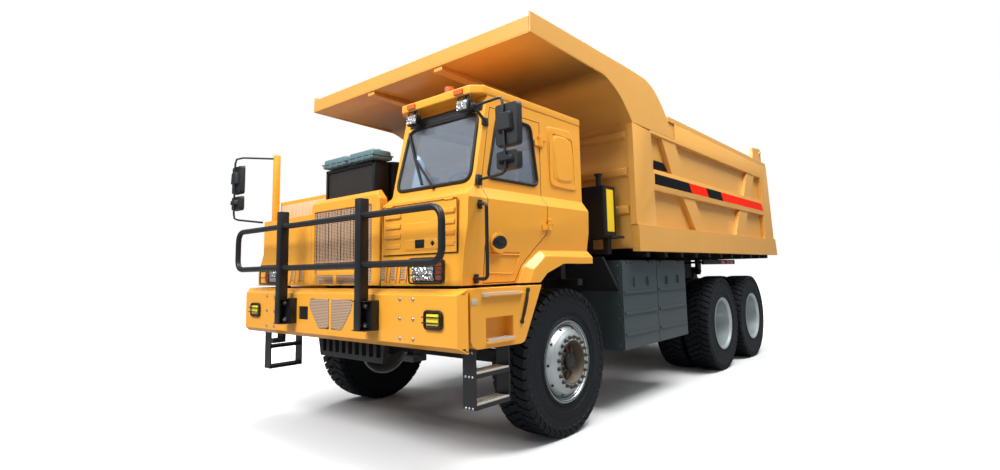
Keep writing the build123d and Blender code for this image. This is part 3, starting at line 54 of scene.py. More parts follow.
scene.view_settings.view_transform = "Standard"


def math_node(tree, operation, *given):
    """Math node fed by sockets or plain numbers; gives back its result."""
    node = tree.nodes.new("ShaderNodeMath")
    node.operation = operation
    for socket, value in zip(node.inputs, given):
        if isinstance(value, (int, float)):
            socket.default_value = value
        else:
            tree.links.new(value, socket)
    return node.outputs[0]


world = bpy.data.worlds.new("studio")
scene.world = world
world.use_nodes = True
tree = world.node_tree
tree.nodes.clear()
height = tree.nodes.new("ShaderNodeTexCoord")
level = tree.nodes.new("ShaderNodeSeparateXYZ")
tree.links.new(height.outputs["Generated"], level.inputs[0])
bright = tree.nodes.new("ShaderNodeMapRange")
bright.inputs["To Min"].default_value = HORIZON
bright.inputs["To Max"].default_value = ZENITH
tree.links.new(level.outputs["Z"], bright.inputs["Value"])
sky = tree.nodes.new("ShaderNodeBackground")
sky.inputs["Color"].default_value = (0.93, 0.96, 1.0, 1)
tree.links.new(bright.outputs[0], sky.inputs["Strength"])
backdrop = tree.nodes.new("ShaderNodeBackground")
backdrop.inputs["Color"].default_value = (1, 1, 1, 1)
# the camera sees plain white behind the truck, also through the glass
path = tree.nodes.new("ShaderNodeLightPath")
seen = math_node(tree, "MAXIMUM", path.outputs["Is Camera Ray"], path.outputs["Is Transmission Ray"])
either = tree.nodes.new("ShaderNodeMixShader")
tree.links.new(seen, either.inputs[0])
tree.links.new(sky.outputs[0], either.inputs[1])
tree.links.new(backdrop.outputs[0], either.inputs[2])
out = tree.nodes.new("ShaderNodeOutputWorld")
tree.links.new(either.outputs[0], out.inputs["Surface"])


def area_light(name, place, target, size, power):
    """Soft box at place, facing target."""
    data = bpy.data.lights.new(name, "AREA")
    data.shape = "RECTANGLE"
    data.size, data.size_y = size
    data.energy = power
    lamp = bpy.data.objects.new(name, data)
    lamp.location = place
    lamp.rotation_euler = (Vector(target) - Vector(place)).to_track_quat("-Z", "Y").to_euler()
    scene.collection.objects.link(lamp)


area_light("key", (0.5, -10.5, 8.5), (0.6, -1.5, 1.6), (6, 4), 1250)
area_light("side_fill", (5.5, -0.5, 11.5), (1.0, 0.5, 1.6), (7, 5), 1750)
area_light("rim", (-8.0, 8.0, 8.0), (0, 0, 1.5), (7, 5), 250)
area_light("top", (-3.0, 0.0, 12.0), (0.0, 0.0, 1.0), (6, 6), 900)

FLOOR_HALF = 60
SHADE_REACH = 3.2
PLAIN_FROM = 9.0
floor_shape = bmesh.new()
bmesh.ops.create_grid(floor_shape, x_segments=1, y_segments=1, size=FLOOR_HALF)
floor_mesh = bpy.data.meshes.new("floor")
floor_shape.to_mesh(floor_mesh)
floor_shape.free()
floor = bpy.data.objects.new("floor", floor_mesh)
floor.location.z = -0.001
scene.collection.objects.link(floor)
floor_paint = bpy.data.materials.new("floor")
floor_paint.use_nodes = True
tree = floor_paint.node_tree
shader = tree.nodes["Principled BSDF"]
shader.inputs["Roughness"].default_value = 0.9
shader.inputs["Specular IOR Level"].default_value = 0.0
# white to the eye, greyer for the light it throws back up under the truck
path = tree.nodes.new("ShaderNodeLightPath")
bounce = tree.nodes.new("ShaderNodeMix")
bounce.data_type = "RGBA"
bounce.inputs[6].default_value = (0.72, 0.72, 0.72, 1)
bounce.inputs[7].default_value = (0.3, 0.3, 0.3, 1)
thrown = math_node(tree, "MAXIMUM", path.outputs["Is Diffuse Ray"], path.outputs["Is Glossy Ray"])
tree.links.new(thrown, bounce.inputs[0])
tree.links.new(bounce.outputs[2], shader.inputs["Base Color"])
# past the shadow it turns as white as the backdrop
place = tree.nodes.new("ShaderNodeTexCoord")
away = tree.nodes.new("ShaderNodeVectorMath")
away.operation = "LENGTH"
tree.links.new(place.outputs["Object"], away.inputs[0])
fade = tree.nodes.new("ShaderNodeMapRange")
fade.interpolation_type = "SMOOTHSTEP"
fade.inputs["From Min"].default_value = SHADE_REACH
fade.inputs["From Max"].default_value = PLAIN_FROM
tree.links.new(away.outputs["Value"], fade.inputs["Value"])
glow = math_node(tree, "MULTIPLY", path.outputs["Is Camera Ray"], fade.outputs[0])
shader.inputs["Emission Color"].default_value = (1, 1, 1, 1)
tree.links.new(glow, shader.inputs["Emission Strength"])
floor_mesh.materials.append(floor_paint)

STAND = (4.478, -6.933, 1.537)
lens = bpy.data.cameras.new("camera")
lens.lens = 19.45
lens.sensor_width = 36
lens.shift_x = -0.0129
lens.shift_y = -0.0232
lens.clip_end = 200
camera = bpy.data.objects.new("camera", lens)
turn, rise, roll = 0.6881, 0.1083, -0.0227
ahead = Vector((-math.sin(turn) * math.cos(rise), math.cos(turn) * math.cos(rise), math.sin(rise)))
right = Vector((math.cos(turn), math.sin(turn), 0))
above = right.cross(ahead)
across_view = math.cos(roll) * right + math.sin(roll) * above
up_view = math.cos(roll) * above - math.sin(roll) * right
facing = Matrix((across_view, up_view, -ahead)).transposed()
camera.matrix_world = Matrix.Translation(STAND) @ facing.to_4x4()
scene.collection.objects.link(camera)
scene.camera = camera

# ---------------------------------------------------------------- paint and dust
# Every painted panel shares one recipe: a little colour drift, fine grain in the gloss,
# and grey road dust that settles low down. The group is placed with each finish's values.
DUST = (0.3, 0.26, 0.21, 1)
DUST_TOP = 2.0
DUST_FULL = 0.1


def weathered_group():
    """The shared recipe as one node group."""
    group = bpy.data.node_groups.new("weathered", "ShaderNodeTree")
    face = group.interface
    for name, kind in (("Color", "Color"), ("Roughness", "Float"), ("Grain", "Float"), ("Dust", "Float")):
        face.new_socket(name=name, in_out="INPUT", socket_type="NodeSocket" + kind)
    for name, kind in (("Color", "Color"), ("Roughness", "Float"), ("Height", "Float")):
        face.new_socket(name=name, in_out="OUTPUT", socket_type="NodeSocket" + kind)
    new, link = group.nodes.new, group.links.new
    given, result = new("NodeGroupInput"), new("NodeGroupOutput")
    place = new("ShaderNodeTexCoord")
    broad, fine = new("ShaderNodeTexNoise"), new("ShaderNodeTexNoise")
    broad.inputs["Scale"].default_value = 1.7
    broad.inputs["Detail"].default_value = 6
    fine.inputs["Detail"].default_value = 3
    link(place.outputs["Object"], broad.inputs["Vector"])
    link(place.outputs["Object"], fine.inputs["Vector"])
    link(given.outputs["Grain"], fine.inputs["Scale"])
    axes, low = new("ShaderNodeSeparateXYZ"), new("ShaderNodeMapRange")
    link(place.outputs["Object"], axes.inputs[0])
    link(axes.outputs["Z"], low.inputs["Value"])
    low.inputs["From Min"].default_value = DUST_TOP
    low.inputs["From Max"].default_value = DUST_FULL
    patch = math_node(group, "MULTIPLY", low.outputs[0], broad.outputs["Fac"])
    amount = math_node(group, "MULTIPLY", patch, given.outputs["Dust"])
    drift, shade = new("ShaderNodeHueSaturation"), new("ShaderNodeMapRange")
    shade.inputs["To Min"].default_value = 0.93
    shade.inputs["To Max"].default_value = 1.05
    link(broad.outputs["Fac"], shade.inputs["Value"])
    link(given.outputs["Color"], drift.inputs["Color"])
    link(shade.outputs[0], drift.inputs["Value"])
    dusty = new("ShaderNodeMix")
    dusty.data_type = "RGBA"
    dusty.inputs[7].default_value = DUST
    link(amount, dusty.inputs[0])
    link(drift.outputs[0], dusty.inputs[6])
    link(dusty.outputs[2], result.inputs["Color"])
    rough = math_node(group, "MULTIPLY_ADD", amount, 0.45, given.outputs["Roughness"])
    speck = math_node(group, "MULTIPLY_ADD", fine.outputs["Fac"], 0.12, rough)
    link(speck, result.inputs["Roughness"])
    link(fine.outputs["Fac"], result.inputs["Height"])
    return group


weathered = weathered_group()


def finish(name, colour, roughness=0.4, metallic=0.0, coat=0.0, grain=60, relief=0.02, dust=0.3, shine=0.5):
    """Principled material over the weathered group."""
    material = bpy.data.materials.new(name)
    material.use_nodes = True
    material.diffuse_color = (*colour, 1)
    new, link = material.node_tree.nodes.new, material.node_tree.links.new
    shader = material.node_tree.nodes["Principled BSDF"]
    skin = new("ShaderNodeGroup")
    skin.name = "skin"
    skin.node_tree = weathered
    skin.inputs["Color"].default_value = (*colour, 1)
    skin.inputs["Roughness"].default_value = roughness
    skin.inputs["Grain"].default_value = grain
    skin.inputs["Dust"].default_value = dust
    bump = new("ShaderNodeBump")
    bump.name = "relief"
    bump.inputs["Strength"].default_value = relief
    bump.inputs["Distance"].default_value = 0.01
    link(skin.outputs["Color"], shader.inputs["Base Color"])
    link(skin.outputs["Roughness"], shader.inputs["Roughness"])
    link(skin.outputs["Height"], bump.inputs["Height"])
    link(bump.outputs[0], shader.inputs["Normal"])
    shader.inputs["Metallic"].default_value = metallic
    shader.inputs["Coat Weight"].default_value = coat
    shader.inputs["Coat Roughness"].default_value = 0.22
    shader.inputs["Specular IOR Level"].default_value = shine
    return material


# ---------------------------------------------------------------- chassis
# Welded ladder frame with its axles, springs, guards and muffler, all in black chassis
# paint; the engine is bare cast iron and the hoist's rods are ground steel.
def paint(material, *names):
    """Gives CAD nodes a finish."""
    for name in names:
        mesh = nodes[name].data
        mesh.materials.clear()
        mesh.materials.append(material)


chassis_paint = finish("chassis_paint", (0.009, 0.011, 0.013), roughness=0.5, grain=90, relief=0.06,
                       dust=0.08, shine=0.3)
paint(chassis_paint, "chassis_frame", "front_axle", "knuckle_left", "knuckle_right", "rear_axles",
      "bed_underframe", "hoist_barrels", "under_guard", "mudguards", "muffler")
engine_iron = finish("engine_iron", (0.03, 0.033, 0.036), roughness=0.6, grain=140, relief=0.2, dust=0.15)
paint(engine_iron, "engine_block")
rod_steel = finish("rod_steel", (0.55, 0.56, 0.58), roughness=0.18, metallic=1.0, grain=200, relief=0.01,
                   dust=0.1)
paint(rod_steel, "hoist_rods")

# ---------------------------------------------------------------- tyres
# Off-road tyres of moulded rubber. The carcass is a spun section; two rows of raked
# shoulder lugs and a broken middle row stand up from it, and rings run round the wall.
AXLE_HEIGHT = 0.68
TYRE_RADIUS = 0.68
TYRE_HALF = 0.1875
FRONT_X = 1.372
TWIN_X = (1.030, 1.463)
PITCHES = 46
CUTS = 5
MIDDLE_ROW = 0.02
GROOVE = (0.062, 0.071)
TREAD_EDGE = 0.6
SHOULDER = 0.622
CROWN = 0.64
LUG_FOOT = 0.598
LUG_RISE = 0.045
LUG_HEIGHT = 0.027
LUG_SIDE = 0.008
SIDE_FROM = 0.1
RAKE = 0.55
# half the carcass from bead to crown: offset from its middle plane, radius
WALL = ((0.181, 0.384), (0.186, 0.396), (0.176, 0.41), (0.18, 0.45), (0.1855, 0.455), (0.1865, 0.47),
        (0.184, 0.5), (0.1865, 0.53), (0.1845, 0.536), (0.187, 0.542), (0.187, 0.575),
        (0.1845, TREAD_EDGE), (0.1795, SHOULDER), (0.165, 0.645), (0.12, 0.652), (GROOVE[1], 0.6535),
        (GROOVE[0], 0.654), (MIDDLE_ROW, 0.655))
rubber = finish("rubber", (0.006, 0.0085, 0.0115), roughness=0.55, grain=220, relief=0.18, dust=0.02,
                shine=0.2)


def in_order(shape):
    """Orders vertices, edges and faces by their places, so that each run writes the same mesh."""
    for items, key in (
        (shape.verts, lambda vert: tuple(vert.co)),
        (shape.edges, lambda edge: sorted(vert.index for vert in edge.verts)),
        (shape.faces, lambda face: sorted(vert.index for vert in face.verts)),
    ):
        items.index_update()
        ranks = [0] * len(items)
        for rank, item in enumerate(sorted(items, key=key)):
            ranks[item.index] = rank
        items.sort(key=lambda item: ranks[item.index])
        items.index_update()


def piece(name, shape, material, body, smooth=None):
    """Turns a bmesh into an object that rides on a body."""
    bmesh.ops.recalc_face_normals(shape, faces=shape.faces)
    in_order(shape)
    mesh = bpy.data.meshes.new(name)
    shape.to_mesh(mesh)
    shape.free()
    if smooth:
        mesh.shade_smooth()
        mesh.set_sharp_from_angle(angle=math.radians(smooth))
    mesh.materials.append(material)
    thing = bpy.data.objects.new(name, mesh)
    scene.collection.objects.link(thing)
    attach(thing, body)
    return thing


def absorb(shape, own):
    """Adds one bmesh to another."""
    mesh = bpy.data.meshes.new("part")
    own.to_mesh(mesh)
    own.free()
    shape.from_mesh(mesh)
    bpy.data.meshes.remove(mesh)


def spun(shape, section, axle, steps, closed=False):
    """Turns a section of vertices all the way round an axle along X."""
    following = section[1:] + (section[:1] if closed else [])
    edges = [shape.edges.new(two) for two in zip(section, following)]
    bmesh.ops.spin(shape, geom=section + edges, cent=axle, axis=(1, 0, 0), steps=steps,
                   angle=2 * math.pi, use_merge=True, use_duplicate=False)


def verts_in(made):
    """The vertices among what an extrusion made."""
    return [item for item in made["geom"] if isinstance(item, bmesh.types.BMVert)]


def lugged(face, middle):
    """Whether a tread face carries a lug, by its row across and its place round."""
    centre = face.calc_center_median()
    along = centre.x - middle
    radius = math.hypot(centre.y, centre.z)
    if radius < TREAD_EDGE:
        return False
    step = math.floor(math.atan2(centre.z, centre.y) / (2 * math.pi) * PITCHES * CUTS + 0.5)
    if abs(along) < MIDDLE_ROW:
        return (step + 1) % CUTS < 3
    if along > 0:
        step += 2
    if abs(along) < GROOVE[0]:
        return step % CUTS != 3
    if abs(along) < GROOVE[1]:
        return step % CUTS == 1
    return step % CUTS < (3 if radius < SHOULDER else 4)


def tyre(shape, middle):
    """One tyre round the X axis at the origin, its middle plane at x = middle."""
    own = bmesh.new()
    section = [own.verts.new((middle + s * x, radius, 0))
               for s, rows in ((-1, WALL), (1, WALL[::-1])) for x, radius in rows]
    spun(own, section, (0, 0, 0), PITCHES * CUTS)
    bmesh.ops.recalc_face_normals(own, faces=own.faces)
    raised = bmesh.ops.extrude_face_region(own, geom=[face for face in own.faces if lugged(face, middle)])
    for vert in verts_in(raised):
        radius = math.hypot(vert.co.y, vert.co.z)
        along = abs(vert.co.x - middle)
        lift = 1 if radius > CROWN else max(0.0, (radius - LUG_FOOT) / LUG_RISE)
        grown = min(TYRE_RADIUS, radius + LUG_HEIGHT * lift)
        vert.co.y *= grown / radius
        vert.co.z *= grown / radius
        side = 1 if vert.co.x > middle else -1
        vert.co.x = middle + side * min(TYRE_HALF, along + (LUG_SIDE if along > SIDE_FROM else 0))
    # the lugs rake back from the middle to the shoulder
    for vert in own.verts:
        radius = math.hypot(vert.co.y, vert.co.z)
        if radius > LUG_FOOT:
            lean = RAKE * abs(vert.co.x - middle) * min(1, (radius - LUG_FOOT) / LUG_RISE)
            vert.co = Matrix.Rotation(lean, 3, "X") @ vert.co
    absorb(shape, own)


def fit_tyres(name, node, body, centres, y):
    """The tyres of one wheel set, turned by chance so that no two stand alike."""
    shape = bmesh.new()
    for middle in centres:
        tyre(shape, middle)
    chance = Matrix.Rotation(random.uniform(0, 1), 3, "X")
    bmesh.ops.rotate(shape, verts=shape.verts, cent=(0, 0, 0), matrix=chance)
    bmesh.ops.translate(shape, verts=shape.verts, vec=(0, y, AXLE_HEIGHT))
    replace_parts(piece(name, shape, rubber, body, smooth=38), node)


random.seed(14)
front_y = sum(corner[1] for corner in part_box("tyre_front_left")) / 2
rear_ys = [sum(corner[1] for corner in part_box("tyres_rear_%d_left" % n)) / 2 for n in (1, 2)]
for side_name, side in (("left", 1), ("right", -1)):
    fit_tyres("tread_front_" + side_name, "tyre_front_" + side_name, "wheel_front_" + side_name,
              [side * FRONT_X], front_y)
    for number, y in enumerate(rear_ys, 1):
        fit_tyres("treads_rear_%d_%s" % (number, side_name), "tyres_rear_%d_%s" % (number, side_name),
                  "wheels_rear_%d_%s" % (number, side_name), [side * x for x in TWIN_X], y)

# ---------------------------------------------------------------- wheels
# Pressed steel discs in silver paint. The front disc bulges out round a ribbed, dark
# cast hub with a black cap, held by studs and nuts; small vent holes run round it, shown
# as dark plugs in painted shade, the shade one sees through a hole.
rim_silver = finish("rim_silver", (0.56, 0.61, 0.62), roughness=0.32, metallic=0.8, grain=120, relief=0.04,
                    dust=0.1)
hub_cast = finish("hub_cast", (0.16, 0.13, 0.09), roughness=0.45, metallic=0.5, grain=90, relief=0.2)
nut_steel = finish("nut_steel", (0.13, 0.12, 0.105), roughness=0.4, metallic=0.7, grain=120, relief=0.1,
                   dust=0.1)
# dark steel for the hub cap, rim beads, fuel tank and lamp backs; on the vent holes and the tow pocket the
# same dark is painted shade, standing in for the shade inside them
dark_steel_and_painted_shade = finish("dark_steel_and_painted_shade", (0.022, 0.022, 0.023), roughness=0.35, metallic=0.5, grain=120, relief=0.1,
                    dust=0.1)
DISC_FACE = 0.228
NUT_RING = 0.226
NUTS = 20
HOLES = 10
HOLE_RING = 0.3075
HOLE_FACE = 0.1735
HOLE_RADIUS = 0.013
HOLE_LEAN = (0.58, 0.815)
RIBS = 10
RIB_FOOT = 0.132
RIB_REACH = 0.06
RIB_HALF = 0.006
RIB_SLOPE = 0.45
RIB_INNER = 0.082
RIB_OUTER = 0.172
WIRE = 0.0035
CAP_BACK = 0.15
CAP_FACE = 0.2185
CAP_RADIUS = 0.0765
SCREWS = 8
SCREW_RING = 0.058
REAR_DISC = 0.2565
REAR_RING = 0.225
REAR_NUTS = 16
# flange, nut and stud: how far each reaches out, its radius and sides
NUT_STACK = ((0.006, 0.019, 16), (0.024, 0.0145, 6), (0.036, 0.008, 10))
# rings rolled into the rim: offset from the tyre's middle plane, radius
BEADS = ((0.1835, 0.376), (0.183, 0.361), (0.165, 0.346))
# the hub's bowl, offset from the tyre's middle plane and radius
BOWL = ((0.2372, 0.2), (0.2372, 0.1925), (0.1435, 0.1695), (0.1355, 0.1445), (0.1315, 0.0855),
        (0.1325, 0.0855), (0.1365, 0.1437), (0.1443, 0.1687), (0.2382, 0.1919), (0.2382, 0.2))


def block(shape, low, high, ease=0.002):
    """Adds a bevelled block between two corners."""
    low, high = Vector(low), Vector(high)
    middle, size = (low + high) / 2, Matrix.Diagonal((*(high - low), 1))
    made = bmesh.ops.create_cube(shape, size=1, matrix=Matrix.Translation(middle) @ size)
    if ease:
        edges = dict.fromkeys(edge for vert in made["verts"] for edge in vert.link_edges)
        bmesh.ops.bevel(shape, geom=list(edges), offset=ease, segments=2, profile=0.5, affect="EDGES",
                        material=-1)


def barrel(shape, start, end, radius, sides=24, ease=0.0):
    """Adds a round bar between two points."""
    start, end = Vector(start), Vector(end)
    line = end - start
    turn = line.to_track_quat("Z", "Y").to_matrix().to_4x4()
    made = bmesh.ops.create_cone(shape, cap_ends=True, segments=sides, radius1=radius, radius2=radius,
                                 depth=line.length, matrix=Matrix.Translation((start + end) / 2) @ turn)
    if ease:
        caps = [face for vert in made["verts"] for face in vert.link_faces if len(face.verts) == sides]
        edges = dict.fromkeys(edge for face in caps for edge in face.edges)
        bmesh.ops.bevel(shape, geom=list(edges), offset=ease, segments=2, profile=0.5, affect="EDGES",
                        material=-1)


def ring_of(count, radius, x, y):
    """Places round an axle: (angle, centre)."""
    for i in range(count):
        angle = 2 * math.pi * (i + 0.5) / count
        yield angle, Vector((x, y + radius * math.sin(angle), AXLE_HEIGHT - radius * math.cos(angle)))


def wheel_nuts(name, x, y, side, radius, count, body):
    """Studs with flanged nuts, standing out on one side (+1 or -1 in X)."""
    shape = bmesh.new()
    for angle, centre in ring_of(count, radius, x, y):
        for reach, thick, sides in NUT_STACK:
            barrel(shape, centre, centre + Vector((reach * side, 0, 0)), thick, sides)
    piece(name, shape, nut_steel, body, smooth=20)


def vent_holes(name, side, body):
    """Dark plugs that stand for the holes round the disc's slope; their dark is painted shade, the shade
    seen through a hole.
    """
    shape = bmesh.new()
    for angle, centre in ring_of(HOLES, HOLE_RING, side * (FRONT_X + HOLE_FACE), front_y):
        outwards, along = HOLE_LEAN
        tilt = Vector((side * outwards, along * math.sin(angle), -along * math.cos(angle))).normalized()
        barrel(shape, centre - 0.01 * tilt, centre + 0.003 * tilt, HOLE_RADIUS, 16)
    piece(name, shape, dark_steel_and_painted_shade, body, smooth=25)


def hub_bowl(name, side, body):
    """Cast bowl inside the disc, with ribs that run in to the cap."""
    shape = bmesh.new()
    middle = side * FRONT_X
    spun(shape, [shape.verts.new((middle + side * x, 0, radius)) for x, radius in BOWL], (0, 0, 0), 64,
         closed=True)
    for i in range(RIBS):
        rib = bmesh.new()
        block(rib, (0, -RIB_HALF, -RIB_OUTER), (RIB_REACH, RIB_HALF, -RIB_INNER), 0.003)
        for vert in rib.verts:
            if vert.co.x > RIB_REACH / 2:
                vert.co.x -= RIB_SLOPE * (abs(vert.co.z) - RIB_INNER)
            vert.co.x = middle + side * (RIB_FOOT + vert.co.x)
        bmesh.ops.rotate(rib, verts=rib.verts, cent=(0, 0, 0),
                         matrix=Matrix.Rotation(2 * math.pi * i / RIBS, 3, "X"))
        absorb(shape, rib)
    bmesh.ops.translate(shape, verts=shape.verts, vec=(0, front_y, AXLE_HEIGHT))
    piece(name, shape, hub_cast, body, smooth=30)


def rim_rings(name, side, body):
    """Beads rolled into the rim, each a small hexagon spun round the axle."""
    shape = bmesh.new()
    for x, radius in BEADS:
        section = []
        for corner in range(6):
            out, up = WIRE * math.cos(corner * math.pi / 3), WIRE * math.sin(corner * math.pi / 3)
            section.append(shape.verts.new((side * (FRONT_X + x) + out, front_y, AXLE_HEIGHT + radius + up)))
        spun(shape, section, (0, front_y, AXLE_HEIGHT), 96, closed=True)
    piece(name, shape, dark_steel_and_painted_shade, body, smooth=40)


def hub_cap(name, side, body):
    """Black cap over the hub, with its ring of small screws."""
    shape = bmesh.new()
    inner, outer = side * (FRONT_X + CAP_BACK), side * (FRONT_X + CAP_FACE)
    barrel(shape, (inner, front_y, AXLE_HEIGHT), (outer, front_y, AXLE_HEIGHT), CAP_RADIUS, 40, 0.008)
    for angle, centre in ring_of(SCREWS, SCREW_RING, outer, front_y):
        barrel(shape, centre, centre + Vector((0.006 * side, 0, 0)), 0.007, 6)
    piece(name, shape, dark_steel_and_painted_shade, body, smooth=25)


for side_name, side in (("left", 1), ("right", -1)):
    wheel = "wheel_front_" + side_name
    paint(rim_silver, "rim_front_" + side_name)
    wheel_nuts("nuts_front_" + side_name, side * (FRONT_X + DISC_FACE), front_y, side, NUT_RING, NUTS, wheel)
    vent_holes("vent_holes_" + side_name, side, wheel)
    hub_bowl("hub_bowl_" + side_name, side, wheel)
    rim_rings("rim_rings_" + side_name, side, wheel)
    hub_cap("hub_cap_" + side_name, side, wheel)
    for number, y in enumerate(rear_ys, 1):
        paint(rim_silver, "rims_rear_%d_%s" % (number, side_name))
        wheel_nuts("nuts_rear_%d_%s" % (number, side_name), side * (TWIN_X[0] + REAR_DISC), y, side,
                   REAR_RING, REAR_NUTS, "wheels_rear_%d_%s" % (number, side_name))

# ---------------------------------------------------------------- cab and front sheet metal
# Folded and pressed steel in warm yellow gloss: cab, door, roof, hood, hatch, fenders,
# bumper and step panels, all with folded edges of a few millimetres.
cab_yellow = finish("cab_yellow", (0.85, 0.37, 0.034), roughness=0.34, coat=0.3, grain=45, relief=0.012,
                    dust=0.03, shine=0.3)
# sharper than CORNER is bevelled; sharper than FOLD, between flats wider than FACET, stays crisp
CORNER = math.radians(32)
FOLD = math.radians(3)
FACET = 0.06
LEVEL = math.radians(0.5)
CRISP = math.radians(24)


def eased(node, width, material, body, flat=True):
    """A copy of a sheet-metal node, its corners softened and its folds between flats kept crisp."""
    shape = bmesh.new()
    shape.from_mesh(nodes[node].data)
    bmesh.ops.remove_doubles(shape, verts=shape.verts, dist=0.00005)
    bmesh.ops.dissolve_limit(shape, angle_limit=LEVEL, verts=shape.verts, edges=shape.edges)
    corners = []
    for edge in shape.edges:
        if len(edge.link_faces) != 2:
            continue
        fold = edge.calc_face_angle(0)
        if fold > CORNER:
            corners.append(edge)
        elif fold > FOLD:
            wide = min(face.calc_area() for face in edge.link_faces) / edge.calc_length()
            edge.smooth = wide < FACET
    bmesh.ops.bevel(shape, geom=corners, offset=width, segments=2, profile=0.5, affect="EDGES",
                    material=-1, clamp_overlap=True)
    for face in shape.faces:
        face.smooth = True
    mesh = bpy.data.meshes.new(node + "_eased")
    shape.to_mesh(mesh)
    shape.free()
    mesh.materials.append(material)
    thing = bpy.data.objects.new(node + "_eased", mesh)
    scene.collection.objects.link(thing)
    if flat:
        flats = thing.modifiers.new("flats", "WEIGHTED_NORMAL")
        flats.keep_sharp = True
    else:
        mesh.set_sharp_from_angle(angle=CRISP)
    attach(thing, body)
    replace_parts(thing, node)


for node, body, width in (
    ("cab_shell", "truck", 0.006), ("cab_roof", "truck", 0.014), ("hood", "truck", 0.006),
    ("left_fender", "truck", 0.007), ("right_fender", "truck", 0.007), ("front_bumper", "truck", 0.006),
    ("left_step_panel", "truck", 0.006), ("right_step_panel", "truck", 0.006), ("deck_box", "truck", 0.003),
    ("door_left", "door_left", 0.003), ("front_hatch", "front_hatch", 0.003),
):
    eased(node, width, cab_yellow, body)

# ---------------------------------------------------------------- glass and seals
# Clear laminated glass set in black rubber, one long wiper on the windscreen, and the
# door's drop glass behind a black frame. A black strip under the visor is part rubber, part painted shade.
glass = bpy.data.materials.new("cab_glass")
glass.use_nodes = True
shader = glass.node_tree.nodes["Principled BSDF"]
shader.inputs["Base Color"].default_value = (0.62, 0.74, 0.88, 1)
shader.inputs["Roughness"].default_value = 0.03
shader.inputs["IOR"].default_value = 1.52
shader.inputs["Transmission Weight"].default_value = 0.87
paint(glass, "cab_glass", "door_glass")
seal_rubber = finish("seal_rubber", (0.01, 0.01, 0.011), roughness=0.5, grain=220, relief=0.08, dust=0.05,
                     shine=0.35)
# windscreen, and the black strip under the visor (part rubber, part painted shade): across and up; drop
# glass: along and up, in millimetres
SCREEN = ((612, 2258), (1528, 2258), (1510, 2838), (652, 2838))
SCREEN_FOOT = (-1255, 2265)
SCREEN_HEAD = (-1129, 2830)
VISOR_SHADE_STRIP = ((640, 2856), (1548, 2856), (1548, 2936), (640, 2936))
DROP_GLASS_X = 1579
DROP_GLASS = ((-1106, 2292), (-978, 2829), (-624, 2836), (-522, 2828), (-434, 2325), (-482, 2292))
# wiper: across, up and out from the screen
WIPER_PIVOT = (1105, 2250)
WIPER_KNEE = (1040, 2330, 34)
WIPER_TIP = (800, 2560, 26)
BLADE_ENDS = ((960, 2290, 16), (655, 2810, 12))
FORWARD = (0, -1, 0)
LEFT = (1, 0, 0)


def at(x, y, z):
    """Point in millimetres, y counted from the front axle, as a place in the frame."""
    return Vector((x / 1000, y / 1000 + front_y, z / 1000))


def rounded(corners, bend, steps=5):
    """Closed outline through corners, with rounded bends."""
    path = []
    count = len(corners)
    for i, corner in enumerate(corners):
        before, after = corners[i - 1], corners[(i + 1) % count]
        into = (corner - before).normalized()
        away = (after - corner).normalized()
        reach = min(bend, (corner - before).length / 2.1, (after - corner).length / 2.1)
        for k in range(steps):
            t = k / (steps - 1)
            a = corner - into * reach * (1 - t)
            b = corner + away * reach * t
            path.append(a.lerp(b, t))
    return path


def sweep_along(shape, path, radius, sides=10, closed=False):
    """Round bar along a list of points, bridged ring by ring."""
    rings = []
    count = len(path)
    for i, point in enumerate(path):
        before = path[i - 1] if closed or i else path[i]
        after = path[(i + 1) % count] if closed or i < count - 1 else path[i]
        line = (after - before).normalized()
        turn = line.to_track_quat("Z", "Y").to_matrix().to_4x4()
        made = bmesh.ops.create_circle(shape, segments=sides, radius=radius,
                                       matrix=Matrix.Translation(point) @ turn)
        rings.append(list(dict.fromkeys(edge for vert in made["verts"] for edge in vert.link_edges)))
    pairs = list(zip(rings, rings[1:])) + ([(rings[-1], rings[0])] if closed else [])
    for one, two in pairs:
        bmesh.ops.bridge_loops(shape, edges=one + two)
    if not closed:
        bmesh.ops.holes_fill(shape, edges=rings[0] + rings[-1], sides=sides + 2)


def hoop(shape, corners, radius, bend, sides=10, steps=5):
    """Round bead along a rounded outline."""
    sweep_along(shape, rounded(corners, bend, steps), radius, sides, closed=True)


def draw_out(shape, face, move):
    """Pulls a face out into a plate; gives back what the extrusion made."""
    made = bmesh.ops.extrude_face_region(shape, geom=[face])
    bmesh.ops.translate(shape, verts=verts_in(made), vec=move)
    return made["geom"]


def pressing(shape, corners, toward, bend, lift, slope):
    """Raised flat with rounded corners and sloping sides, on the plane of its corners."""
    own = bmesh.new()
    flat = own.faces.new([own.verts.new(point) for point in rounded(corners, bend)])
    flat.normal_update()
    if flat.normal.dot(Vector(toward)) < 0:
        flat.normal_flip()
    made = draw_out(own, flat, Vector(toward) * 0.001)
    tops = [item for item in made if isinstance(item, bmesh.types.BMFace)]
    bmesh.ops.inset_region(own, faces=tops, thickness=slope, depth=lift, use_even_offset=True)
    absorb(shape, own)


def screen_point(x, z, out=0):
    """Point on the raked windscreen at height z, moved out in front of it."""
    (foot_y, foot_z), (head_y, head_z) = SCREEN_FOOT, SCREEN_HEAD
    lean = (z - foot_z) * (head_y - foot_y) / (head_z - foot_z)
    return at(x, foot_y + lean - out, z)


shape = bmesh.new()
hoop(shape, [screen_point(x, z, 1) for x, z in SCREEN], radius=0.017, bend=0.09)
piece("screen_seal", shape, seal_rubber, "truck", smooth=40)
shape = bmesh.new()
hoop(shape, [at(DROP_GLASS_X, y, z) for y, z in DROP_GLASS], radius=0.014, bend=0.05)
piece("door_glass_seal", shape, seal_rubber, "door_left", smooth=40)
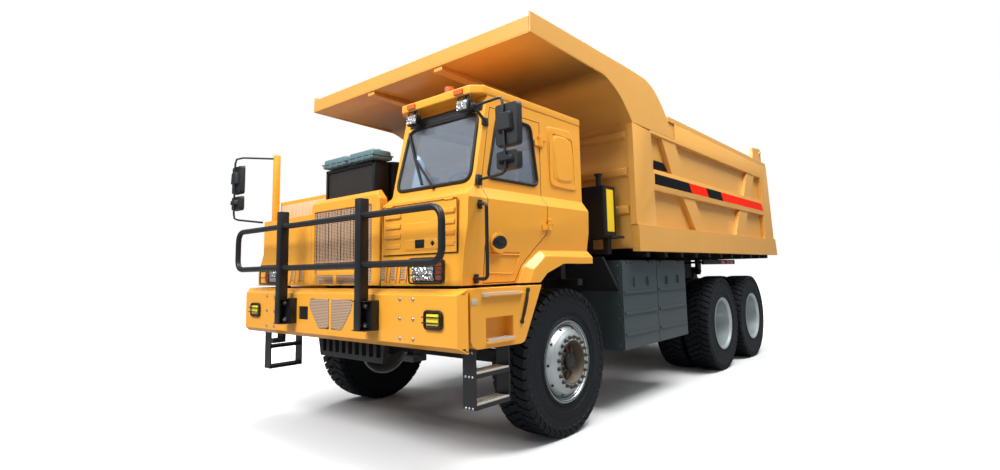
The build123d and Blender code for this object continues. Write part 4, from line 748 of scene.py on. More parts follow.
# black strip along the header under the visor: partly black rubber, partly painted shade standing in for the
# shadow the visor casts there
shape = bmesh.new()
pressing(shape, [screen_point(x, z, 2) for x, z in VISOR_SHADE_STRIP], FORWARD, bend=0.01, lift=0.004, slope=0.004)
piece("visor_strip_painted_shade", shape, seal_rubber, "truck", smooth=30)
shape = bmesh.new()
pivot = screen_point(*WIPER_PIVOT, 14)
tip = screen_point(*WIPER_TIP)
barrel(shape, screen_point(*WIPER_PIVOT, -6), screen_point(*WIPER_PIVOT, 30), 0.018, 20, 0.003)
sweep_along(shape, [pivot, screen_point(*WIPER_KNEE), tip], radius=0.011)
foot, top = [screen_point(*end) for end in BLADE_ENDS]
sweep_along(shape, [foot, tip + Vector((0, 0.006, 0)), top], radius=0.013)
piece("wiper", shape, seal_rubber, "truck", smooth=40)

# ---------------------------------------------------------------- door and its fittings
# Pressings in the door and in the quarter behind it, black moulded handle, black steel
# grab handle on two feet, and barrel hinges at the door's rear edge.
black_coat = finish("black_coat", (0.007, 0.008, 0.0095), roughness=0.36, coat=0.1, grain=160, relief=0.05,
                    dust=0.03, shine=0.35)
# the cab's section: height, and how far out its skin stands there, millimetres
SKIN = ((1420, 1590), (1713, 1614), (1895, 1644), (2107, 1650), (2205, 1578), (2960, 1578))
# outlines on the door and the quarter, and the gap round the door: along and up
DOOR_PANEL = ((-1180, 1672), (-745, 1668), (-850, 1512), (-1180, 1524))
QUARTER = ((-283, 2885), (128, 2905), (228, 2315), (-231, 2289))
QUARTER_INNER = ((-205, 2822), (90, 2838), (160, 2372), (-160, 2350))
DOOR_SEAM = ((-1187, 2107), (-1197, 1444), (-807, 1444), (-725, 1582), (-399, 1851), (-387, 2100),
             (-387, 2205), (-387, 2887), (-1068, 2887), (-1182, 2250), (-1183, 2205))
SEAM_STEPS = 6
# handle: centre of its dish, and half sizes in metres; hinges: middle of each and how tall
DISH = (1652, -1055, 1759)
DISH_HALF = (0.012, 0.088, 0.06)
DISH_TURN = Matrix.Rotation(math.radians(8), 3, "Y")
GRIP = ((1655, 1674), (-1096, -1018), (1753, 1774))
FEET = ((1652, 2052), (1604, 1480))
QUARTER_X = (1578.5, 1584)
HINGE_BARRELS = (-0.33, 0.0, 0.33)
HINGES = ((1586, -398, 2712, 112), (1656, -390, 1943, 104))


def skin_x(z):
    """X of the cab's outer skin at height z, millimetres."""
    for (z0, x0), (z1, x1) in zip(SKIN, SKIN[1:]):
        if z <= z1:
            return x0 + (x1 - x0) * (z - z0) / (z1 - z0)


def slab(shape, across, along, up, ease=0.002):
    """Bevelled block over three ranges in millimetres."""
    block(shape, at(across[0], along[0], up[0]), at(across[1], along[1], up[1]), ease)


shape = bmesh.new()
made = bmesh.ops.create_uvsphere(shape, u_segments=40, v_segments=20, radius=1)
bmesh.ops.scale(shape, verts=made["verts"], vec=DISH_HALF)
bmesh.ops.rotate(shape, verts=made["verts"], cent=(0, 0, 0), matrix=DISH_TURN)
bmesh.ops.translate(shape, verts=made["verts"], vec=at(*DISH))
slab(shape, *GRIP, 0.006)
piece("door_handle", shape, black_coat, "door_left", smooth=35)
shape = bmesh.new()
hoop(shape, [at(skin_x(z), y, z) for y, z in DOOR_PANEL], radius=0.006, bend=0.012, sides=8)
piece("door_pressing", shape, cab_yellow, "door_left", smooth=40)
paint(black_coat, "grab_handle", "ladders")
shape = bmesh.new()
for x, z in FEET:
    slab(shape, (x - 12, x + 10), (-1304, -1262), (z - 36, z + 36), 0.006)
piece("grab_feet", shape, black_coat, "truck", smooth=30)

shape = bmesh.new()
pressing(shape, [at(QUARTER_X[0], y, z) for y, z in QUARTER], LEFT, bend=0.06, lift=0.006, slope=0.014)
pressing(shape, [at(QUARTER_X[1], y, z) for y, z in QUARTER_INNER], LEFT, bend=0.1, lift=0.012, slope=0.03)
piece("quarter_pressing", shape, cab_yellow, "truck", smooth=15)
shape = bmesh.new()
for x, y, z, tall in HINGES:
    slab(shape, (x - 8, x + 4), (y + 8, y + 52), (z - tall / 2, z + tall / 2), 0.003)
    barrel(shape, at(x + 6, y, z - tall / 2), at(x + 6, y, z + tall / 2), 0.011, 16, 0.002)
    for part in HINGE_BARRELS:
        knuckle = z + part * tall
        barrel(shape, at(x + 6, y, knuckle - 13), at(x + 6, y, knuckle + 13), 0.015, 16, 0.002)
        barrel(shape, at(x + 4, y + 32, knuckle), at(x + 11, y + 32, knuckle), 0.009, 6, 0.001)
piece("door_hinges", shape, cab_yellow, "truck", smooth=30)

# rubber in the gap round the door, following the cab's section
seam = []
for (y0, z0), (y1, z1) in zip(DOOR_SEAM, DOOR_SEAM[1:] + DOOR_SEAM[:1]):
    for i in range(SEAM_STEPS):
        z = z0 + (z1 - z0) * i / SEAM_STEPS
        seam.append(at(skin_x(z) - 3, y0 + (y1 - y0) * i / SEAM_STEPS, z))
shape = bmesh.new()
sweep_along(shape, seam, radius=0.0045, sides=6, closed=True)
piece("door_seal", shape, seal_rubber, "truck", smooth=40)

# ---------------------------------------------------------------- front hatch
# Folded sheet hatch with short stiffening ribs at both sides, a stepped pressing in the
# middle that holds latch and lock, and rubber in the gap round it.
HATCH_FACE = -1440
HATCH_FOOT = 1690
HATCH_TALL = 408
HATCH_LEAN = 14.5
HATCH_GAP = ((646, 1686), (1549, 1686), (1549, 2102), (646, 2102))
RIB_ENDS = ((676, 885), (1376, 1530))
RIB_ROWS = (1757, 1842, 1927, 2012)
LOCK = (1290, 1766)
LATCH_PLATE = ((1082, 1192), (1733, 1802))
LATCH_PADDLE = ((1097, 1177), (1744, 1776))
STEP_OUTER = ((915, 1712), (1345, 1712), (1345, 1975), (1290, 1975), (1240, 1945), (915, 1945))
STEP_INNER = ((940, 1722), (1336, 1722), (1336, 1806), (940, 1806))


def on_hatch(x, z, out=0.0):
    """Point on the hatch's leaning skin, millimetres."""
    return at(x, HATCH_FACE + 1 + HATCH_LEAN * (z - HATCH_FOOT) / HATCH_TALL - out, z)


shape = bmesh.new()
slab(shape, LATCH_PLATE[0], (HATCH_FACE - 12, HATCH_FACE + 6), LATCH_PLATE[1], 0.006)
slab(shape, LATCH_PADDLE[0], (HATCH_FACE - 17, HATCH_FACE), LATCH_PADDLE[1], 0.004)
barrel(shape, at(LOCK[0], HATCH_FACE + 4, LOCK[1]), at(LOCK[0], HATCH_FACE - 13, LOCK[1]), 0.022, 4, 0.004)
piece("hatch_latch", shape, black_coat, "front_hatch", smooth=30)
shape = bmesh.new()
for across in RIB_ENDS:
    for z in RIB_ROWS:
        slab(shape, across, (HATCH_FACE - 6, HATCH_FACE + 16), (z - 20, z + 20), 0.009)
pressing(shape, [on_hatch(x, z) for x, z in STEP_OUTER], FORWARD, bend=0.03, lift=0.004, slope=0.008)
pressing(shape, [on_hatch(x, z, 4) for x, z in STEP_INNER], FORWARD, bend=0.04, lift=0.004, slope=0.008)
piece("hatch_pressings", shape, cab_yellow, "front_hatch", smooth=15)
shape = bmesh.new()
hoop(shape, [at(x, HATCH_FACE + 11, z) for x, z in HATCH_GAP], radius=0.0035, bend=0.004, sides=6)
piece("hatch_seal", shape, seal_rubber, "truck", smooth=40)

# ---------------------------------------------------------------- grille and louvres
# Perforated sheet in brown paint: the grille with a fold across it, small slots beside
# the headlamps behind folded edges, and two panels set in the bumper.
HOLE_PITCH = 0.022
CAB_FACE = -1430
SLOT_X = (645, 778, 911, -698, -866)
SLOT_HALF = 30
SLOT_Z = (1478, 1590)
EDGE_INNER = 32
EDGE_OUTER = 52
EDGE_Z = (1462, 1606)
SLOT_LEAN = 0.12
SLOT_MIDDLE = 1.534
# the grille's fold, ribs and gussets, in metres
GRILLE_HALF = 0.37
FOLD_Z = (1.655, 1.668)
CROSS_RIB = (0.31, 1.53, 1.578)
UPRIGHT_RIB = (0.026, 1.452, 1.54)
GUSSET = ((0.0, 1.6), (0.0, 1.446), (0.062, 1.446))
# the bumper's panels, in millimetres
PANEL_MIDDLE = 12
PANEL_FACE = -1544
PANEL = ((21, 1317), (21, 1051), (188, 1044), (232, 1096), (347, 1240), (347, 1311))
perforated = finish("perforated", (0.72, 0.48, 0.31), roughness=0.45, metallic=0.1, grain=160, relief=0.05,
                    dust=0.05)
# crossed slanting waves leave round holes where they meet; the holes are painted dark, painted shade for
# what is seen through them
tree = perforated.node_tree
place = tree.nodes.new("ShaderNodeTexCoord")
axes = tree.nodes.new("ShaderNodeSeparateXYZ")
tree.links.new(place.outputs["Object"], axes.inputs[0])
slower = math_node(tree, "MULTIPLY", axes.outputs["Z"], 0.8)
waves = []
for way in ("ADD", "SUBTRACT"):
    slanted = math_node(tree, way, axes.outputs["X"], slower)
    scaled = math_node(tree, "MULTIPLY", slanted, 2 * math.pi / HOLE_PITCH)
    waves.append(math_node(tree, "SINE", scaled))
hole = tree.nodes.new("ShaderNodeMapRange")
hole.inputs["From Min"].default_value = -0.15
hole.inputs["From Max"].default_value = 0.25
tree.links.new(math_node(tree, "MULTIPLY", *waves), hole.inputs["Value"])
# painted shade: the holes' dark colour stands in for the shade behind the perforated sheet
dark = tree.nodes.new("ShaderNodeMix")
dark.data_type = "RGBA"
dark.inputs[7].default_value = (0.05, 0.032, 0.024, 1)
tree.links.new(hole.outputs[0], dark.inputs[0])
tree.links.new(tree.nodes["skin"].outputs["Color"], dark.inputs[6])
tree.links.new(dark.outputs[2], tree.nodes["Principled BSDF"].inputs["Base Color"])
paint(perforated, "grille_mesh")

shape, frames = bmesh.new(), bmesh.new()
for x in SLOT_X:
    slot, edging = bmesh.new(), bmesh.new()
    slab(slot, (x - SLOT_HALF, x + SLOT_HALF), (CAB_FACE - 4, CAB_FACE + 8), SLOT_Z, 0.004)
    for across in ((x - EDGE_OUTER, x - EDGE_INNER), (x + EDGE_INNER, x + EDGE_OUTER)):
        slab(edging, across, (CAB_FACE - 10, CAB_FACE + 6), EDGE_Z, 0.007)
    for part, whole in ((slot, shape), (edging, frames)):
        for vert in part.verts:
            vert.co.x += SLOT_LEAN * (vert.co.z - SLOT_MIDDLE)
        absorb(whole, part)
piece("louvre_mesh", shape, perforated, "truck")
piece("louvre_frames", frames, cab_yellow, "truck", smooth=30)

grille_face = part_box("grille_mesh")[0][1]
front, back = grille_face - 0.008, grille_face + 0.004
shape = bmesh.new()
for half, foot, top in (CROSS_RIB, UPRIGHT_RIB):
    block(shape, (-half, front, foot), (half, back, top), 0.004)
for s in (1, -1):
    corners = [shape.verts.new((s * (GRILLE_HALF - inset), grille_face - 0.007, z)) for inset, z in GUSSET]
    draw_out(shape, shape.faces.new(corners), (0, 0.01, 0))
piece("grille_ribs", shape, cab_yellow, "truck", smooth=30)
shape = bmesh.new()
front, back = grille_face - 0.01, grille_face + 0.002
block(shape, (-GRILLE_HALF, front, FOLD_Z[0]), (GRILLE_HALF, back, FOLD_Z[1]), 0.004)
for s in (1, -1):
    outline = [at(PANEL_MIDDLE + s * x, PANEL_FACE, z) for x, z in PANEL]
    pressing(shape, outline, FORWARD, bend=0.035, lift=0.003, slope=0.004)
piece("vent_panels", shape, perforated, "truck", smooth=30)

# ---------------------------------------------------------------- bumper and guard
# Zinc plated bolts hold the bumper. The guard is welded of square black posts on open
# channel shoes, with one bent tube run through the posts as a long hoop. A dark plate set
# back in the bumper's opening is painted shade for the inside of the tow pocket.
zinc = finish("zinc", (0.62, 0.62, 0.6), roughness=0.28, metallic=0.95, grain=200, relief=0.05, dust=0.2)
BUMPER_FACE = -1543
GUARD_X = 655
GUARD_BACK = BUMPER_FACE - 70
POST_HALF = 40
POST_DEEP = 90
POST_TOP = 2165
SHOE = (1075, 1318)
SHOE_HALF = 86
PLATE = 8
SHOE_FRONT = GUARD_BACK - 78
HOOP_HALF = 1622
HOOP_Z = (1611, 2018)
HOOP_Y = GUARD_BACK - POST_DEEP / 2
HOOP_RADIUS = 0.0275
COLLAR_RADIUS = 0.034
BUMPER_BOLTS = ((1009, 1167), (1332, 1180, 1027))
SHOE_BOLTS = (1276, 1112)
TOW_POCKET_SHADE = ((-533, -365), (-1530, -1526), (1115, 1240))


def bolts(name, places, toward, radius, material, body):
    """Hexagon heads on washers at each place, standing out along toward."""
    shape = bmesh.new()
    toward = Vector(toward)
    for place in places:
        barrel(shape, place, place + toward * radius * 0.35, radius * 1.5, 16)
        barrel(shape, place, place + toward * radius * 1.1, radius, 6, radius * 0.12)
    piece(name, shape, material, body, smooth=20)


def guard_post(shape, x):
    """One square post with its channel shoe and the collars of the hoop."""
    foot, top = SHOE
    post = (x - POST_HALF, x + POST_HALF)
    shoe = (x - SHOE_HALF, x + SHOE_HALF)
    rear = BUMPER_FACE - 1
    slab(shape, post, (GUARD_BACK - POST_DEEP, GUARD_BACK), (top, POST_TOP), 0.009)
    slab(shape, post, (GUARD_BACK - POST_DEEP, GUARD_BACK - POST_DEEP + 2 * PLATE), (foot, top + 10), 0.004)
    slab(shape, shoe, (GUARD_BACK - PLATE, GUARD_BACK + 2), (foot, top), 0.002)
    slab(shape, shoe, (SHOE_FRONT, rear), (top - PLATE, top), 0.003)
    slab(shape, shoe, (SHOE_FRONT, rear), (foot, foot + PLATE), 0.003)
    for across in ((shoe[1] - PLATE, shoe[1]), (shoe[0], shoe[0] + PLATE)):
        slab(shape, across, (GUARD_BACK - PLATE, rear), (foot, top), 0.003)
    slab(shape, (post[0], post[0] + PLATE), (GUARD_BACK - POST_DEEP, GUARD_BACK), (foot, top + 10), 0.002)
    for z in HOOP_Z:
        for edge in (post[0] - PLATE, post[1]):
            barrel(shape, at(edge, HOOP_Y, z), at(edge + PLATE, HOOP_Y, z), COLLAR_RADIUS, 24, 0.003)


columns, rows = BUMPER_BOLTS
places = [at(s * x, BUMPER_FACE, z) for s in (1, -1) for x in columns for z in rows]
bolts("bumper_bolts", places, FORWARD, 0.0105, zinc, "truck")
shape = bmesh.new()
for s in (1, -1):
    guard_post(shape, s * GUARD_X)
corners = ((-HOOP_HALF, HOOP_Z[0]), (HOOP_HALF, HOOP_Z[0]), (HOOP_HALF, HOOP_Z[1]), (-HOOP_HALF, HOOP_Z[1]))
hoop(shape, [at(x, HOOP_Y, z) for x, z in corners], HOOP_RADIUS, bend=0.12, sides=20, steps=10)
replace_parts(piece("front_guard", shape, black_coat, "truck", smooth=34), "bull_bar")
places = [at(s * GUARD_X, GUARD_BACK - PLATE, z) for s in (1, -1) for z in SHOE_BOLTS]
bolts("guard_bolts", places, FORWARD, 0.019, zinc, "truck")
# painted shade: a dark plate set back in the bumper's opening stands in for the shade inside the tow pocket
shape = bmesh.new()
slab(shape, *TOW_POCKET_SHADE, 0.0)
piece("tow_pocket_shade", shape, dark_steel_and_painted_shade, "truck")

# ---------------------------------------------------------------- lamps
# Headlamps with a faceted clear reflector and an amber indicator behind black wire
# cages, yellow fog lamps in rounded frames, and work lamps under the visor.
# fog lamps: frame, lens and cage, half width and up; work lamps: half width, along, up
FOG_X = 1408
FOG_FRAME = (78, (1132, 1234))
FOG_LENS = (66, (1140, 1227))
FOG_CAGE = (95, (1117, 1247))
FOG_WIRES = (1161, 1204)
WORK_LAMP_X = (792, 1429)
WORK_SHELL = (66, (-1240, -1178), (2846, 2944))
WORK_LENS = (56, (-1250, -1236), (2858, 2934))
WORK_STALK = (10, (-1215, -1190), (2938, 2986))
WORK_CAGE = (74, -1212, (2896, 2980))
# headlamps: ends across, foot and top, how far front and back stand out from the cab's face
SHELL = (1046, 1408, (1462, 1632), 18, -4)
REFLECTOR = (1056, 1306, (1471, 1624), 34, 14)
SIGNAL = (1332, 1398, (1473, 1612), 34, 14)
CAGE = (1057, 1450, 1454, 1648)
lens_clear = finish("lens_clear", (0.62, 0.65, 0.68), roughness=0.06, metallic=0.7, coat=1.0, relief=0.0,
                    dust=0.0)
tree = lens_clear.node_tree
facets = tree.nodes.new("ShaderNodeTexVoronoi")
facets.inputs["Scale"].default_value = 38
place = tree.nodes.new("ShaderNodeTexCoord")
tree.links.new(place.outputs["Object"], facets.inputs["Vector"])
bump = tree.nodes["relief"]
bump.inputs["Strength"].default_value = 0.9
bump.inputs["Distance"].default_value = 0.03
tree.links.new(facets.outputs["Distance"], bump.inputs["Height"])


def moulded_lens(name, colour):
    """Coloured plastic with a clean gloss."""
    return finish(name, colour, roughness=0.12, coat=1.0, dust=0.05)


amber = moulded_lens("amber", (0.62, 0.11, 0.02))
indicator = moulded_lens("indicator", (0.2, 0.035, 0.008))
fog_yellow = moulded_lens("fog_yellow", (0.95, 0.75, 0.02))


def cage(shape, low, high, front, back, bars, radius):
    """Rounded wire frame with bars across it, standing on four short legs."""
    (x0, z0), (x1, z1) = low, high
    corners = [at(x, front, z) for x, z in ((x0, z0), (x1, z0), (x1, z1), (x0, z1))]
    hoop(shape, corners, radius, bend=0.03, sides=8)
    for i in range(1, bars + 1):
        z = z0 + (z1 - z0) * i / (bars + 1)
        barrel(shape, at(x0, front, z), at(x1, front, z), radius * 0.6, 8)
    reach = (x1 - x0) * 0.2
    for x in (x0 + reach, x1 - reach):
        for z in (z0, z1):
            barrel(shape, at(x, front, z), at(x, back, z), radius * 0.8, 8)


clear, orange, wire, housing, fog = [bmesh.new() for i in range(5)]
for side in (1, -1):
    for store, (near, far, up, front, back) in ((housing, SHELL), (clear, REFLECTOR), (orange, SIGNAL)):
        slab(store, sorted((side * near, side * far)), (CAB_FACE - front, CAB_FACE - back), up, 0.007)
    near, far, foot, top = CAGE
    near, far = sorted((side * near, side * far))
    cage(wire, (near, foot), (far, top), CAB_FACE - 62, CAB_FACE, bars=2, radius=0.007)
    x = side * FOG_X
    half, up = FOG_FRAME
    slab(housing, (x - half, x + half), (BUMPER_FACE - 8, BUMPER_FACE + 4), up, 0.006)
    half, up = FOG_LENS
    slab(fog, (x - half, x + half), (BUMPER_FACE - 24, BUMPER_FACE - 6), up, 0.008)
    half, (foot, top) = FOG_CAGE
    cage(wire, (x - half, foot), (x + half, top), BUMPER_FACE - 12, BUMPER_FACE, bars=0, radius=0.0095)
    for z in FOG_WIRES:
        bar = ((x - 96, 0), (x - 100, 34), (x + 100, 34), (x + 96, 0))
        sweep_along(wire, [at(across, BUMPER_FACE - out, z) for across, out in bar], radius=0.005, sides=8)
for x in WORK_LAMP_X:
    for store, (half, along, up), ease in (
        (housing, WORK_SHELL, 0.012), (clear, WORK_LENS, 0.006), (housing, WORK_STALK, 0.002),
    ):
        slab(store, (x - half, x + half), along, up, ease)
    half, y, (foot, top) = WORK_CAGE
    bracket = ((x - half, foot), (x + half, foot), (x + half, top), (x - half, top))
    hoop(wire, [at(across, y, z) for across, z in bracket], radius=0.005, bend=0.02, sides=8)
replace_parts(piece("lamp_housings", housing, black_coat, "truck", smooth=30), "lamps")
piece("lamp_lenses", clear, lens_clear, "truck", smooth=30)
piece("indicators", orange, indicator, "truck", smooth=30)
piece("fog_lenses", fog, fog_yellow, "truck", smooth=30)
piece("lamp_cages", wire, black_coat, "truck", smooth=40)
paint(amber, "beacon_and_markers")

# ---------------------------------------------------------------- mirrors
# Moulded black heads with convex glass facing back, on bent tube arms; the right pair
# hangs from a square yellow post on the deck.
mirror_plastic = finish("mirror_plastic", (0.011, 0.013, 0.015), roughness=0.42, grain=260, relief=0.1,
                        dust=0.03, shine=0.4)
mirror_glass = finish("mirror_glass", (0.7, 0.72, 0.74), roughness=0.03, metallic=1.0, relief=0.0, dust=0.0)
# centre across, back plane, feet and tops of the large and of the small head
HEADS = ((1912, -1208, (2474, 2812), (2292, 2446)), (-1944, -1516, (2492, 2822), (2300, 2468)))
HEAD_HALVES = (116, 112)
ARCH = ((-84, 0.3), (-66, 0.8), (66, 0.8), (84, 0.3))
ARM_RADIUS = 0.011
ARMS = (
    ((1590, -1262, 2850), (1836, -1262, 2860), (1876, -1268, 2850), (1892, -1274, 2815), (1896, -1274, 2725),
     (1900, -1274, 2599), (1910, -1274, 2405), (1913, -1274, 2310), (1902, -1268, 2280), (1866, -1258, 2268),
     (1770, -1242, 2262), (1596, -1216, 2262)),
    ((-1600, -1260, 2900), (-1880, -1520, 2916), (-1935, -1572, 2900), (-1946, -1582, 2850),
     (-1946, -1582, 2600), (-1946, -1582, 2260), (-1938, -1576, 2205), (-1880, -1560, 2184),
     (-1530, -1446, 2136)),
)
# clamps of the left arm on the cab, the stay between the upper two, and the right post
CLAMPS = (
    ((1577, 1606), (-1252, -1196), (2216, 2300), 0.006), ((1578, 1604), (-1300, -1240), (2828, 2872), 0.008),
    ((1577, 1596), (-1172, -1100), (2712, 2782), 0.006),
)
STAY = ((1590, -1296, 2858), (1590, -1122, 2742))
MIRROR_POST = ((-1631, -1569), (-1291, -1229), (2140, 2941))
shape, faces = bmesh.new(), bmesh.new()
for x, y, *pair in HEADS:
    for (z0, z1), half in zip(pair, HEAD_HALVES):
        outline = [at(x + dx, y, z) for dx, z in ((-half, z0), (half, z0), (half, z1), (-half, z1))]
        pressing(shape, outline, FORWARD, bend=0.035, lift=0.05, slope=0.01)
        arch = [at(x + dx, y - 48, z0 + (z1 - z0) * part) for dx, part in ARCH]
        pressing(shape, arch, FORWARD, bend=0.03, lift=0.036, slope=0.022)
        slab(faces, (x - half + 12, x + half - 12), (y - 2, y + 3), (z0 + 12, z1 - 12), 0.003)
for route in ARMS:
    sweep_along(shape, [at(*point) for point in route], ARM_RADIUS, 12)
for across, along, up, ease in CLAMPS:
    slab(shape, across, along, up, ease)
barrel(shape, at(*STAY[0]), at(*STAY[1]), 0.013, 16, 0.003)
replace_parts(piece("mirror_heads", shape, mirror_plastic, "truck", smooth=35), "mirrors")
piece("mirror_faces", faces, mirror_glass, "truck")
shape = bmesh.new()
slab(shape, *MIRROR_POST, 0.005)
piece("mirror_post", shape, cab_yellow, "truck", smooth=30)

# ---------------------------------------------------------------- engine end
# Finned radiator core in a black steel frame, two moulded expansion tanks with green
# caps, and the black air cleaner.
core_metal = finish("core_metal", (0.06, 0.055, 0.05), roughness=0.45, metallic=0.7, grain=200, relief=1.0)
tree = core_metal.node_tree
fins = tree.nodes.new("ShaderNodeTexWave")
fins.bands_direction = "X"
fins.inputs["Scale"].default_value = 18
fins.inputs["Distortion"].default_value = 1.5
place = tree.nodes.new("ShaderNodeTexCoord")
tree.links.new(place.outputs["Object"], fins.inputs["Vector"])
tree.links.new(fins.outputs["Fac"], tree.nodes["relief"].inputs["Height"])
paint(core_metal, "radiator")
FRAME_X = 383
FRAME_HALF = 18
FRAME_DEEP = (-1349, -1186)
FRAME_Z = (2200, 2574)
HEADER_Z = (2546, 2577)
shape = bmesh.new()
for s in (1, -1):
    slab(shape, (s * FRAME_X - FRAME_HALF, s * FRAME_X + FRAME_HALF), FRAME_DEEP, FRAME_Z, 0.004)
slab(shape, (-FRAME_X - FRAME_HALF, FRAME_X + FRAME_HALF), FRAME_DEEP, HEADER_Z, 0.004)
piece("radiator_frame", shape, black_coat, "truck", smooth=30)

tank_teal = finish("tank_teal", (0.11, 0.185, 0.2), roughness=0.3, grain=90, relief=0.05, dust=0.05)
tank_green = finish("tank_green", (0.01, 0.22, 0.11), roughness=0.4, grain=90, relief=0.05, dust=0.05)
# sizes within the box of the tanks, in metres
TANK_RIBS = 4
TANK_GAP = 0.024
SEAM = 0.45
FILLER_INSET = 0.08
FILLER_RADIUS = 0.026
(tank_x0, front, foot), (tank_x1, back, top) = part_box("coolant_tanks")
middle_x = (tank_x0 + tank_x1) / 2
middle_y = (front + back) / 2
seam_z = foot + SEAM * (top - foot)
shape, caps = bmesh.new(), bmesh.new()
for x0, x1 in ((tank_x0, middle_x - TANK_GAP / 2), (middle_x + TANK_GAP / 2, tank_x1)):
    block(shape, (x0 + 0.004, front + 0.004, foot + 0.012), (x1 - 0.004, back - 0.004, seam_z), 0.02)
    block(shape, (x0 + 0.012, front + 0.012, seam_z - 0.03), (x1 - 0.012, back - 0.012, top - 0.014), 0.024)
    block(shape, (x0, front, seam_z - 0.007), (x1, back, seam_z + 0.005), 0.002)
    for i in range(TANK_RIBS):
        x = x0 + (i + 0.5) * (x1 - x0) / TANK_RIBS
        block(shape, (x - 0.012, front + 0.001, foot + 0.008), (x + 0.012, front + 0.02, seam_z), 0.004)
    for x in (x0 + FILLER_INSET, x1 - FILLER_INSET):
        barrel(caps, (x, middle_y, top - 0.02), (x, middle_y, top - 0.002), FILLER_RADIUS, 20, 0.003)
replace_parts(piece("coolant_bottles", shape, tank_teal, "truck", smooth=40), "coolant_tanks")
piece("coolant_caps", caps, tank_green, "truck", smooth=40)
paint(black_coat, "air_cleaner")

# ---------------------------------------------------------------- deck screen
# Louvred panel in cream paint, let into the deck box under its yellow rail: upright
# folded slats over a thin back sheet.
SLATS = 14
SLAT_START = -1585
SLAT_PITCH = 74
SLAT_WIDTH = 34
SLAT_DEEP = (-1203, -1196)
SLAT_Z = (2176, 2340)
BACK_SHEET = ((-1598, -548), (-1199, -1193), (2170, 2346))
cream = finish("cream", (0.62, 0.47, 0.28), roughness=0.5, grain=80, relief=0.05, dust=0.15)
shape = bmesh.new()
for i in range(SLATS):
    x = SLAT_START + i * SLAT_PITCH
    slab(shape, (x, x + SLAT_WIDTH), SLAT_DEEP, SLAT_Z, 0.003)
slab(shape, *BACK_SHEET, 0.001)
piece("deck_louvres", shape, cream, "truck", smooth=30)

# ---------------------------------------------------------------- steps
# Bolted plate ladders with grated aluminium treads, a rubber strap on the left fender
# and a small plate screwed to the step panel.
tread_metal = finish("tread_metal", (0.6, 0.55, 0.47), roughness=0.45, metallic=0.4, grain=120, relief=0.15)
RUNGS = (556, 778)
RUNG_BARS = 11
RUNG = ((1562, -1386), (1689, -1022))
# opposite corners of the bumper's step and of the step panel's tread
MIDDLE_STEP = ((1640, -1270, 1006), (1711, -960, 1026))
TOP_STEP = ((1692, -1317, 1346), (1721, -888, 1374))
TOP_BARS = 18
LADDER_BOLTS = ((1590, 1625, 1660), (545, 768, 943))
STEP_PLATE = ((1689, 1694), (-1433, -1373), (1290, 1333))
PLATE_SCREWS = ((-1424, 1311), (-1382, 1311))
STRAP = ((1692, -849, 1127), (1702, -826, 1195), (1704, -790, 1300), (1692, -763, 1374))


def grating(shape, low, high, bars):
    """Tread of cross bars in a frame, millimetres."""
    (x0, y0, z0), (x1, y1, z1) = low, high
    slab(shape, (x0, x0 + 9), (y0, y1), (z0, z1), 0.002)
    slab(shape, (x1 - 9, x1), (y0, y1), (z0, z1), 0.002)
    pitch = (y1 - y0) / bars
    for i in range(bars):
        y = y0 + (i + 0.5) * pitch
        slab(shape, (x0 + 4, x1 - 4), (y - 0.22 * pitch, y + 0.22 * pitch), (z0 + 1, z1 - 1), 0.0)


shape = bmesh.new()
for z in RUNGS:
    grating(shape, (*RUNG[0], z + 11), (*RUNG[1], z + 25), RUNG_BARS)
grating(shape, *MIDDLE_STEP, RUNG_BARS)
grating(shape, *TOP_STEP, TOP_BARS)
piece("treads", shape, tread_metal, "truck")
ladder_face = (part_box("ladders")[0][1] - front_y) * 1000
columns, rows = LADDER_BOLTS
places = [at(x, ladder_face, z) for x in columns for z in rows]
bolts("ladder_bolts", places, FORWARD, 0.0062, zinc, "truck")
shape = bmesh.new()
strap = [at(*point) for point in STRAP]
sweep_along(shape, strap, radius=0.013)
for end in (strap[0], strap[-1]):
    barrel(shape, end - Vector((0.006, 0, 0)), end + Vector((0.012, 0, 0)), 0.02, 16, 0.003)
piece("fender_strap", shape, seal_rubber, "truck", smooth=40)
shape = bmesh.new()
slab(shape, *STEP_PLATE, 0.002)
for y, z in PLATE_SCREWS:
    barrel(shape, at(1692, y, z), at(1697, y, z), 0.005, 10)
piece("step_reflector", shape, tread_metal, "truck", smooth=25)

# ---------------------------------------------------------------- tanks and tail
# Welded steel tanks, the hydraulic one with a yellow plate on its face, moulded red
# lenses at the tail, and a bar with marker lamps on two arms under the body's side.
eased("hydraulic_tank", 0.004, black_coat, "truck")
eased("fuel_tank", 0.004, dark_steel_and_painted_shade, "truck")
YELLOW_PLATE = ((1558, 1562), (838, 985), (1935, 2400))
plate_yellow = finish("plate_yellow", (0.9, 0.62, 0.02), roughness=0.3, coat=0.4, dust=0.1)
shape = bmesh.new()
slab(shape, *YELLOW_PLATE, 0.0015)
piece("tank_plate", shape, plate_yellow, "truck")

red_lens = finish("red_lens", (0.55, 0.02, 0.015), roughness=0.15, coat=1.0, dust=0.1)
paint(dark_steel_and_painted_shade, "tail_lamps")
LENS_INNER = (0.5, 0.68)
LENS_WIDTH = 0.15
(_, _, foot), (_, tail, top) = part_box("tail_lamps")
shape = bmesh.new()
for s in (1, -1):
    for inner in LENS_INNER:
        x0, x1 = sorted((s * inner, s * (inner + LENS_WIDTH)))
        block(shape, (x0, tail - 0.004, foot + 0.02), (x1, tail + 0.012, top - 0.02), 0.006)
piece("tail_lenses", shape, red_lens, "truck", smooth=30)

